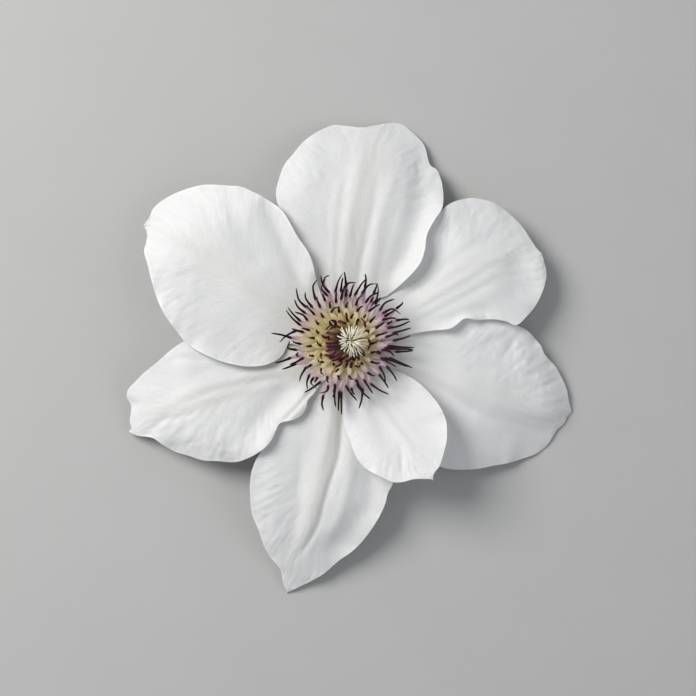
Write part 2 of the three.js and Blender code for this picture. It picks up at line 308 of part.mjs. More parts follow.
const STYLES = [
  [0,1.68,0.51,16.2,2.11,0.51,20.4,3.55,0.36,23.04,5.88,0.16,22.68],
  [0,1.53,0.66,16.2,1.96,0.66,20.4,3.12,0.74,24.03,5.13,1.19,23.55],
  [0,1.52,0.88,16.2,1.95,0.88,20.4,3.35,1.2,23.27,5.56,2.09,22.91],
  [0,1.43,1.06,16.2,1.87,1.06,20.4,3.02,1.56,23.89,4.86,2.98,23.43],
  [0,1.23,1.16,16.2,1.67,1.16,20.4,2.78,1.88,23.52,4.36,3.68,23.11],
  [0,0.98,0.37,16.2,1.41,0.37,21.2,2.76,0.86,24.75,4.34,1.83,24.94],
  [0,0.82,0.67,16.2,1.25,0.67,21.2,1.9,1.11,24.84,2.61,2.33,24.95],
  [1,0.41,1.74,16.2,0.84,1.74,20.4,1.92,2.17,23.89,3.3,3.9,23.51],
  [1,0.19,1.68,16.2,0.63,1.68,20.4,1.64,2.38,23.64,2.77,4.38,23.1],
  [1,0,1.72,16.2,0.44,1.72,20.4,1.17,2.2,23.37,1.71,4.15,22.8],
  [1,-0.21,1.78,16.2,0.23,1.78,20.4,0.86,2.22,23.22,1.05,4.19,22.68],
  [1,-0.39,1.67,16.2,0.04,1.67,20.4,0.46,2.34,23.11,0.21,4.37,22.73],
  [1,0.19,1.15,16.2,0.62,1.15,21.2,1.22,1.71,24.56,1.53,3.23,24.61],
  [1,-0.16,1,16.2,0.27,1,21.2,0.45,1.69,24.74,-0.09,2.96,24.95],
  [2,-1.23,1.16,16.2,-0.8,1.16,20.4,-0.23,1.77,23.07,-0.61,3.58,22.67],
  [2,-1.4,1.04,16.2,-0.97,1.04,20.4,-0.9,1.89,23.26,-1.9,3.79,22.86],
  [2,-1.6,0.92,16.2,-1.16,0.92,20.4,-1.18,1.61,23.41,-2.47,3.24,22.97],
  [2,-1.65,0.71,16.2,-1.22,0.71,20.4,-0.82,0.91,23.14,-1.93,1.75,22.71],
  [2,-1.74,0.53,16.2,-1.31,0.53,20.4,-1.42,0.68,23.66,-3.04,1.15,23.17],
  [2,-0.9,0.73,16.2,-0.46,0.73,21.2,-0.53,1.16,24.55,-1.55,1.99,24.62],
  [2,-1.02,0.39,16.2,-0.58,0.39,21.2,-0.74,0.28,24.91,-1.84,-0.02,24.95],
  [3,-1.65,-0.5,16.2,-1.21,-0.5,20.4,-1.07,-0.31,23.96,-2.42,-0.13,23.6],
  [3,-1.58,-0.68,16.2,-1.14,-0.68,20.4,-0.93,-0.65,23.96,-2.21,-0.91,23.48],
  [3,-1.52,-0.87,16.2,-1.08,-0.87,20.4,-0.81,-0.98,23.62,-2.01,-1.67,23.23],
  [3,-1.34,-1,16.2,-0.91,-1,20.4,-0.92,-1.49,23.66,-2.18,-2.75,23.26],
  [3,-1.25,-1.18,16.2,-0.82,-1.18,20.4,-0.41,-1.64,23.37,-1.12,-3.2,22.95],
  [3,-0.96,-0.36,16.2,-0.52,-0.36,21.2,-0.11,-0.62,24.81,-0.61,-1.33,24.8],
  [3,-0.88,-0.72,16.2,-0.45,-0.72,21.2,0.29,-1.11,24.86,0.33,-2.32,24.91],
  [4,-0.4,-1.7,16.2,0.04,-1.7,20.4,0.3,-2.06,23.91,-0.31,-3.71,23.41],
  [4,-0.21,-1.79,16.2,0.23,-1.79,20.4,0.64,-2.34,23.79,0.43,-4.37,23.4],
  [4,-0,-1.73,16.2,0.43,-1.73,20.4,0.91,-2.56,23.4,0.93,-4.81,22.92],
  [4,0.2,-1.69,16.2,0.63,-1.69,20.4,1.38,-2.64,23.5,1.98,-4.99,22.99],
  [4,0.41,-1.76,16.2,0.85,-1.76,20.4,1.72,-2.41,23.67,2.69,-4.52,23.18],
  [4,-0.17,-1.04,16.2,0.27,-1.04,21.2,0.94,-2.11,24.45,1.4,-4,24.59],
  [4,0.16,-0.99,16.2,0.6,-0.99,21.2,1.61,-1.36,24.88,2.71,-2.38,24.91],
  [5,1.33,-1.25,16.2,1.77,-1.25,20.4,2.7,-2.17,23.42,3.95,-4.39,22.93],
  [5,1.45,-1.07,16.2,1.88,-1.07,20.4,2.8,-1.69,23.34,4.28,-3.43,22.8],
  [5,1.56,-0.9,16.2,1.99,-0.9,20.4,3.16,-1.4,23.83,5.08,-2.76,23.39],
  [5,1.53,-0.66,16.2,1.96,-0.66,20.4,3.34,-1.04,23.92,5.46,-1.96,23.42],
  [5,1.67,-0.51,16.2,2.11,-0.51,20.4,3.7,-0.69,23.29,6.13,-1.12,22.75],
  [5,0.79,-0.64,16.2,1.22,-0.64,21.2,2.51,-1.03,24.64,4.08,-1.78,24.75],
  [5,0.96,-0.36,16.2,1.4,-0.36,21.2,2.8,-0.24,24.64,4.52,0.08,24.74],
];

// ------------------------------------------------------------------- colours

const WHITE_TEPAL = new THREE.Color(0.86, 0.87, 0.88);
const FILAMENT = new THREE.Color(0.62, 0.42, 0.60);
const STYLE = new THREE.Color(0.90, 0.86, 0.68);
const GREEN = new THREE.Color(0.42, 0.50, 0.20);
const STALK_GREEN = new THREE.Color(0.34, 0.40, 0.17);

function finish(colour, roughness) {
  return new THREE.MeshStandardMaterial({ color: colour.clone(), roughness, metalness: 0 });
}

// ------------------------------------------------------------ plane geometry

const clamp = (x, a, b) => Math.min(b, Math.max(a, x));
function smoothstep(a, b, x) {
  const t = clamp((x - a) / (b - a), 0, 1);
  return t * t * (3 - 2 * t);
}

// a smooth line through the points, sampled about every `step`
function smoothLine(points, step) {
  const p = points.map(([x, y]) => [x, y]);
  const q = [
    [2 * p[0][0] - p[1][0], 2 * p[0][1] - p[1][1]],
    ...p,
    [2 * p[p.length - 1][0] - p[p.length - 2][0], 2 * p[p.length - 1][1] - p[p.length - 2][1]],
  ];
  const mix = (a, b, ta, tb, t) => [
    ((tb - t) * a[0] + (t - ta) * b[0]) / (tb - ta),
    ((tb - t) * a[1] + (t - ta) * b[1]) / (tb - ta),
  ];
  const gap = (a, b) => Math.sqrt(Math.max(Math.hypot(b[0] - a[0], b[1] - a[1]), 1e-6));
  const out = [];
  for (let i = 1; i < q.length - 2; i++) {
    const [p0, p1, p2, p3] = [q[i - 1], q[i], q[i + 1], q[i + 2]];
    const t0 = 0, t1 = t0 + gap(p0, p1), t2 = t1 + gap(p1, p2), t3 = t2 + gap(p2, p3);
    const n = Math.max(2, Math.ceil(Math.hypot(p2[0] - p1[0], p2[1] - p1[1]) / step));
    for (let j = 0; j < n; j++) {
      const t = t1 + ((t2 - t1) * j) / n;
      const a1 = mix(p0, p1, t0, t1, t), a2 = mix(p1, p2, t1, t2, t), a3 = mix(p2, p3, t2, t3, t);
      const b1 = mix(a1, a2, t0, t2, t), b2 = mix(a2, a3, t1, t3, t);
      out.push(mix(b1, b2, t1, t2, t));
    }
  }
  out.push(p[p.length - 1]);
  return out;
}

function evenly(line, count) {
  const length = [0];
  for (let i = 1; i < line.length; i++) {
    length.push(length[i - 1] + Math.hypot(line[i][0] - line[i - 1][0], line[i][1] - line[i - 1][1]));
  }
  const out = [];
  let k = 1;
  for (let i = 0; i <= count; i++) {
    const s = (length[length.length - 1] * i) / count;
    while (k < line.length - 1 && length[k] < s) k++;
    const t = clamp((s - length[k - 1]) / Math.max(length[k] - length[k - 1], 1e-9), 0, 1);
    out.push([
      line[k - 1][0] + t * (line[k][0] - line[k - 1][0]),
      line[k - 1][1] + t * (line[k][1] - line[k - 1][1]),
    ]);
  }
  return out;
}

// distance from a point to a line, and how far along the line it is (0 to 1)
function distanceTo(line, x, y) {
  let best = Infinity, along = 0, run = 0;
  for (let i = 1; i < line.length; i++) {
    const ax = line[i - 1][0], ay = line[i - 1][1];
    const bx = line[i][0] - ax, by = line[i][1] - ay;
    const l2 = bx * bx + by * by + 1e-12, l = Math.sqrt(l2);
    const t = clamp(((x - ax) * bx + (y - ay) * by) / l2, 0, 1);
    const d = Math.hypot(x - ax - t * bx, y - ay - t * by);
    if (d < best) { best = d; along = run + t * l; }
    run += l;
  }
  return [best, along / run];
}

function isInside(outline, x, y) {
  let inside = false;
  for (let i = 0, j = outline.length - 1; i < outline.length; j = i++) {
    const [xi, yi] = outline[i], [xj, yj] = outline[j];
    if ((yi > y) !== (yj > y) && x < xi + ((y - yi) * (xj - xi)) / (yj - yi)) inside = !inside;
  }
  return inside;
}

// ----------------------------------------------------------- tepal surfaces

// a smooth rise and fall through the arch's heights, with no overshoot between them
function archHeight(r) {
  const x = ARCH_RADIUS, y = ARCH_HEIGHT, n = x.length;
  const h = [], d = [];
  for (let i = 0; i < n - 1; i++) { h.push(x[i + 1] - x[i]); d.push((y[i + 1] - y[i]) / (x[i + 1] - x[i])); }
  const slope = new Array(n).fill(0);
  for (let i = 1; i < n - 1; i++) {
    if (d[i - 1] * d[i] > 0) {
      const w1 = 2 * h[i] + h[i - 1], w2 = h[i] + 2 * h[i - 1];
      slope[i] = (w1 + w2) / (w1 / d[i - 1] + w2 / d[i]);
    }
  }
  slope[n - 1] = d[n - 2];
  const rr = clamp(r, 0, x[n - 1] - 0.01);
  let i = 0;
  while (i < n - 2 && x[i + 1] <= rr) i++;
  const t = (rr - x[i]) / h[i];
  return (2 * t ** 3 - 3 * t ** 2 + 1) * y[i] + (t ** 3 - 2 * t ** 2 + t) * h[i] * slope[i]
    + (-2 * t ** 3 + 3 * t ** 2) * y[i + 1] + (t ** 3 - t ** 2) * h[i] * slope[i + 1];
}

const LINES = {};
for (const [name, t] of Object.entries(TEPALS)) {
  const a = smoothLine(t.right, 0.8), b = smoothLine(t.left, 0.8);
  LINES[name] = {
    a, b,
    outline: [...a, ...b.slice(0, -1).reverse()],
    ridges: t.ridges.map((ridge) => ({ ...ridge, line: smoothLine(ridge.line, 1.5) })),
    bearing: Math.atan2(t.right[0][1] + t.left[0][1], t.right[0][0] + t.left[0][0]),
  };
}

function freeHeight(name, x, y) {
  const t = TEPALS[name], r = Math.hypot(x, y);
  let z = archHeight(r)
    + t.layer * LAYER_STEP * (0.8 + 0.2 * clamp((r - 6) / 10, 0, 1)) * (1 - 0.7 * smoothstep(52, 78, r))
    + t.tip_lift * clamp((r - t.curl_from) / 30, 0, 2) ** 2;
  for (const ridge of LINES[name].ridges) {
    const [d, s] = distanceTo(ridge.line, x, y);
    z += ridge.rise * Math.exp(-((d / ridge.width) ** 2))
      * smoothstep(0, 0.22, s) * smoothstep(0, 0.22, 1 - s) * smoothstep(5, 14, r);
  }
  return z;
}

function neighboursAbove(name) {
  return Object.keys(TEPALS).filter((other) => {
    if (other === name || TEPALS[other].layer <= TEPALS[name].layer) return false;
    const turn = Math.abs(THREE.MathUtils.euclideanModulo(
      LINES[name].bearing - LINES[other].bearing + Math.PI, 2 * Math.PI) - Math.PI);
    return turn < THREE.MathUtils.degToRad(100);
  });
}

// the tepal's middle surface, pressed down wherever a higher tepal covers it
function height(name, x, y) {
  let z = freeHeight(name, x, y);
  for (const other of neighboursAbove(name)) {
    const outline = LINES[other].outline;
    let d = distanceTo([...outline, outline[0]], x, y)[0];
    if (isInside(outline, x, y)) d = -d;
    if (d >= 6) continue;
    const limit = height(other, x, y) - COVER_GAP + 1.1 * Math.max(d - 0.6, 0);
    const soft = 0.5, over = z - limit;
    if (over > soft) z = limit;
    else if (over > -soft) z -= (over + soft) ** 2 / (4 * soft);
  }
  return z;
}

// ------------------------------------------------------------- closed solids

function solidFrom(positions, triangles) {
  let volume = 0;
  for (let i = 0; i < triangles.length; i += 3) {
    const [a, b, c] = [0, 1, 2].map((k) => positions[triangles[i + k]]);
    volume += a[0] * (b[1] * c[2] - b[2] * c[1]) + a[1] * (b[2] * c[0] - b[0] * c[2])
      + a[2] * (b[0] * c[1] - b[1] * c[0]);
  }
  if (volume < 0) {
    for (let i = 0; i < triangles.length; i += 3) {
      [triangles[i + 1], triangles[i + 2]] = [triangles[i + 2], triangles[i + 1]];
    }
  }
  const geometry = new THREE.BufferGeometry();
  geometry.setAttribute('position', new THREE.Float32BufferAttribute(positions.flat(), 3));
  geometry.setIndex(triangles);
  return geometry;
}

// a thin curved sheet between two edges that meet in one point at the tip
function tepalGeometry(name) {
  const rows = TEPAL_ROWS, columns = TEPAL_COLUMNS, half = TEPAL_THICKNESS / 2;
  const a = evenly(LINES[name].a, rows), b = evenly(LINES[name].b, rows);
  const layers = [[], []];
  for (let i = 0; i <= rows; i++) {
    const across = i === rows ? 0 : columns;
    for (let j = 0; j <= across; j++) {
      const v = across === 0 ? 0 : 0.5 - 0.5 * Math.cos((Math.PI * (j + 0.6)) / (columns + 1.2)) ;
      const edge = 0.5 - 0.5 * Math.cos((Math.PI * 0.6) / (columns + 1.2));
      const w = across === 0 ? 0 : (v - edge) / (1 - 2 * edge);
      const x = a[i][0] + w * (b[i][0] - a[i][0]), y = a[i][1] + w * (b[i][1] - a[i][1]);
      const z = Math.max(height(name, x, y), half);
      layers[0].push([x, y, z + half]);
      layers[1].push([x, y, z - half]);
    }
  }
  const count = layers[0].length, tip = count - 1;
  const at = (i, j) => (i === rows ? tip : i * (columns + 1) + j);
  const triangles = [];
  const face = (p, q, r) => {
    triangles.push(p, q, r);
    triangles.push(count + p, count + r, count + q);
  };
  for (let i = 0; i < rows; i++) {
    for (let j = 0; j < columns; j++) {
      if (i === rows - 1) {
        face(at(i, j), at(i, j + 1), tip);
      } else {
        face(at(i, j), at(i, j + 1), at(i + 1, j + 1));
        face(at(i, j), at(i + 1, j + 1), at(i + 1, j));
      }
    }
  }
  const rim = [];
  for (let j = 0; j < columns; j++) rim.push(at(0, columns - j));
  for (let i = 0; i < rows; i++) rim.push(at(i, 0));
  rim.push(tip);
  for (let i = rows - 1; i > 0; i--) rim.push(at(i, columns));
  for (let k = 0; k < rim.length; k++) {
    const p = rim[k], q = rim[(k + 1) % rim.length];
    triangles.push(p, q, count + q, p, count + q, count + p);
  }
  return solidFrom([...layers[0], ...layers[1]], triangles);
}

// a tapering rod along a line of points, closed at both ends
function rodGeometry(points, radii, sides) {
  const p = points.map((q) => new THREE.Vector3(...q));
  const positions = [], triangles = [];
  let side = null;
  p.forEach((point, i) => {
    const ahead = p[Math.min(i + 1, p.length - 1)], behind = p[Math.max(i - 1, 0)];
    const along = ahead.clone().sub(behind).normalize();
    if (!side) {
      side = Math.abs(along.z) < 0.99 ? new THREE.Vector3(0, 0, 1) : new THREE.Vector3(1, 0, 0);
    }
    side = side.clone().addScaledVector(along, -side.dot(along)).normalize();
    const other = along.clone().cross(side);
    for (let k = 0; k < sides; k++) {
      const angle = (2 * Math.PI * k) / sides;
      const v = point.clone().addScaledVector(side, radii[i] * Math.cos(angle))
        .addScaledVector(other, radii[i] * Math.sin(angle));
      positions.push([v.x, v.y, v.z]);
    }
  });
  for (let i = 0; i < p.length - 1; i++) {
    for (let k = 0; k < sides; k++) {
      const a = i * sides + k, b = i * sides + ((k + 1) % sides);
      triangles.push(a, b, b + sides, a, b + sides, a + sides);
    }
  }
  const last = (p.length - 1) * sides;
  for (let k = 1; k < sides - 1; k++) {
    triangles.push(0, k + 1, k);
    triangles.push(last, last + k, last + k + 1);
  }
  return solidFrom(positions, triangles);
}

// a sector of a flat ring
function sectorGeometry(inner, outer, from, to, bottom, top, steps) {
  const shape = new THREE.Shape();
  const ring = [];
  for (let i = 0; i <= steps; i++) {
    const angle = from + ((to - from) * i) / steps;
    ring.push([outer * Math.cos(angle), outer * Math.sin(angle)]);
  }
  for (let i = steps; i >= 0; i--) {
    const angle = from + ((to - from) * i) / steps;
    ring.push([inner * Math.cos(angle), inner * Math.sin(angle)]);
  }
  ring.forEach(([x, y], i) => (i ? shape.lineTo(x, y) : shape.moveTo(x, y)));
  const geometry = new THREE.ExtrudeGeometry(shape, { depth: top - bottom, bevelEnabled: false, steps: 1 });
  geometry.translate(0, 0, bottom);
  return geometry;
}

const wasm = await Module();
wasm.setup();

function toManifold(geometry) {
  const g = geometry.index ? geometry.clone() : geometry.clone();
  g.deleteAttribute('normal');
  g.deleteAttribute('uv');
  const merged = mergeVertices(g, 1e-4);
  return new wasm.Manifold(new wasm.Mesh({
    numProp: 3,
    vertProperties: new Float32Array(merged.attributes.position.array),
    triVerts: new Uint32Array(merged.index.array),
  }));
}

function joined(geometries) {
  let solid = toManifold(geometries[0]);
  for (const g of geometries.slice(1)) solid = solid.add(toManifold(g));
  const mesh = solid.getMesh();
  const geometry = new THREE.BufferGeometry();
  const count = mesh.vertProperties.length / mesh.numProp;
  const positions = new Float32Array(count * 3);
  for (let i = 0; i < count; i++) {
    for (let k = 0; k < 3; k++) positions[3 * i + k] = mesh.vertProperties[i * mesh.numProp + k];
  }
  geometry.setAttribute('position', new THREE.Float32BufferAttribute(positions, 3));
  geometry.setIndex(Array.from(mesh.triVerts));
  return geometry;
}

// ------------------------------------------------------------------ stamens

// foot, two points along the filament, start, middle and tip of the anther
function stamenLine([ring, , bearing, jx, jy, jz, mx, my, mz, tx, ty, tz]) {
  const { radius, height: foot, reach, lift } = RINGS[ring];
  const angle = THREE.MathUtils.degToRad(bearing);
  const start = new THREE.Vector3(radius * Math.cos(angle), radius * Math.sin(angle), foot);
  const joint = new THREE.Vector3(jx, jy, jz);
  const far = Math.hypot(jx, jy);
  const lean = new THREE.Vector2(Math.cos(angle) / 2 + jx / far / 2, Math.sin(angle) / 2 + jy / far / 2)
    .normalize().multiplyScalar(radius + (far - radius) * reach);
  const bend = new THREE.Vector3(lean.x, lean.y, foot + (jz - foot) * lift);
  const curve = new THREE.QuadraticBezierCurve3(start, bend, joint);
  return [start, curve.getPoint(0.34), curve.getPoint(0.68), joint].map((v) => v.toArray())
    .concat([[mx, my, mz], [tx, ty, tz]]);
}

// --------------------------------------------------------------- the flower

const flower = new THREE.Group();
flower.name = 'clematis_flower';

function place(name, geometry, material) {
  const mesh = new THREE.Mesh(geometry, material);
  mesh.name = name;
  flower.add(mesh);
}

for (const name of Object.keys(TEPALS)) {
  place(`tepal_${name}`, tepalGeometry(name), finish(WHITE_TEPAL, 0.55));
}

place('receptacle',
  new THREE.LatheGeometry(RECEPTACLE.map(([r, z]) => new THREE.Vector2(r, z)), 20).rotateX(Math.PI / 2),
  finish(GREEN, 0.6));

{
  const line = new THREE.CatmullRomCurve3(STALK_LINE.map((p) => new THREE.Vector3(...p)), false, 'centripetal');
  const points = line.getSpacedPoints(STALK_STEPS).map((v) => v.toArray());
  const radii = points.map((_, i) => STALK_RADIUS + (STALK_RADIUS_TOP - STALK_RADIUS) * Math.exp(-i / 1.6));
  place('pedicel', rodGeometry(points, radii, 8), finish(STALK_GREEN, 0.65));
}

RINGS.forEach((ring, index) => {
  const width = (2 * Math.PI) / ring.bundles;
  for (let k = 0; k < ring.bundles; k++) {
    const inner = ring.radius - PAD_IN, outer = ring.radius + PAD_OUT;
    const margin = PAD_GAP / 2 / inner;
    const pad = sectorGeometry(inner, outer, k * width + margin, (k + 1) * width - margin,
      ring.height - PAD_BELOW, ring.height + PAD_ABOVE, 3);
    const rods = STAMENS.filter((s) => s[0] === index && s[1] === k)
      .map((s) => rodGeometry(stamenLine(s), STAMEN_RADII, 4));
    place(`stamens_${ring.name}_${String(k + 1).padStart(2, '0')}`, joined([pad, ...rods]), finish(FILAMENT, 0.5));
  }
});

for (let k = 0; k < STYLE_BUNDLES; k++) {
  const width = (2 * Math.PI) / STYLE_BUNDLES;
  // the wedge's point is cut off parallel to its neighbours' faces
  const from = k * width, to = (k + 1) * width, mid = (from + to) / 2;
  const shape = new THREE.Shape();
  const back = (PAD_GAP / 2) / Math.sin(width / 2);
  const tipX = back * Math.cos(mid), tipY = back * Math.sin(mid);
  const trim = PAD_GAP / 2 / STYLE_PAD.outer;
  shape.moveTo(tipX, tipY);
  for (let i = 0; i <= 3; i++) {
    const angle = from + trim + ((to - from - 2 * trim) * i) / 3;
    shape.lineTo(STYLE_PAD.outer * Math.cos(angle), STYLE_PAD.outer * Math.sin(angle));
  }
  shape.lineTo(tipX, tipY);
  const pad = new THREE.ExtrudeGeometry(shape, {
    depth: STYLE_PAD.top - STYLE_PAD.bottom, bevelEnabled: false, steps: 1,
  }).translate(0, 0, STYLE_PAD.bottom);
  const rods = STYLES.filter((s) => s[0] === k).map((s) => rodGeometry(
    [s.slice(1, 4), s.slice(4, 7), s.slice(7, 10), s.slice(10, 13)], STYLE_RADII, 4));
  place(`styles_${String(k + 1).padStart(2, '0')}`, joined([pad, ...rods]), finish(STYLE, 0.6));
}

// the origin goes to the middle of the flower's box, on the resting surface
flower.updateMatrixWorld(true);
const box = new THREE.Box3();
flower.children.forEach((mesh) => {
  mesh.geometry.computeBoundingBox();
  box.union(mesh.geometry.boundingBox);
});
const centre = box.getCenter(new THREE.Vector3());
flower.position.set(-centre.x, -centre.y, -box.min.z);

export default flower;
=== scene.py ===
# A white clematis flower, lying face up on a pale surface.
import math

import bpy
import numpy as np
from mathutils import Matrix, Vector


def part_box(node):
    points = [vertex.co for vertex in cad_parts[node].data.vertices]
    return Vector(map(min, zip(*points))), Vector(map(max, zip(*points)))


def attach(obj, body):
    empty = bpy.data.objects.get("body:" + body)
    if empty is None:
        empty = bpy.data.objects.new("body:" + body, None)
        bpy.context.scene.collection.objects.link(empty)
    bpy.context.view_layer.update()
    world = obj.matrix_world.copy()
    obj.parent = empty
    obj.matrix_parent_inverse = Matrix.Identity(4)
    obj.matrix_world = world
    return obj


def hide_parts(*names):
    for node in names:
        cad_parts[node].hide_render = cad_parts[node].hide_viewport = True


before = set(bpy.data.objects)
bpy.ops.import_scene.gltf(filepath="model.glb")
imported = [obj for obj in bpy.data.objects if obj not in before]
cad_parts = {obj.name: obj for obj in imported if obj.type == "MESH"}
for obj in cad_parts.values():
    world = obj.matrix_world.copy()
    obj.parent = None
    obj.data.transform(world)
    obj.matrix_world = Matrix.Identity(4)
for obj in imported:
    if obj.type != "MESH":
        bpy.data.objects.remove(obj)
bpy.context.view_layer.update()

# The solid model is centred on its own box, so the flower's axis is not at the
# origin. The receptacle stands on that axis, and its underside is 5.4 mm up in
# the flower's own measure.
_lo, _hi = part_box("receptacle")
SHIFT = np.array([(_lo.x + _hi.x) / 2, (_lo.y + _hi.y) / 2, _lo.z - 0.0054])

MM = 0.001

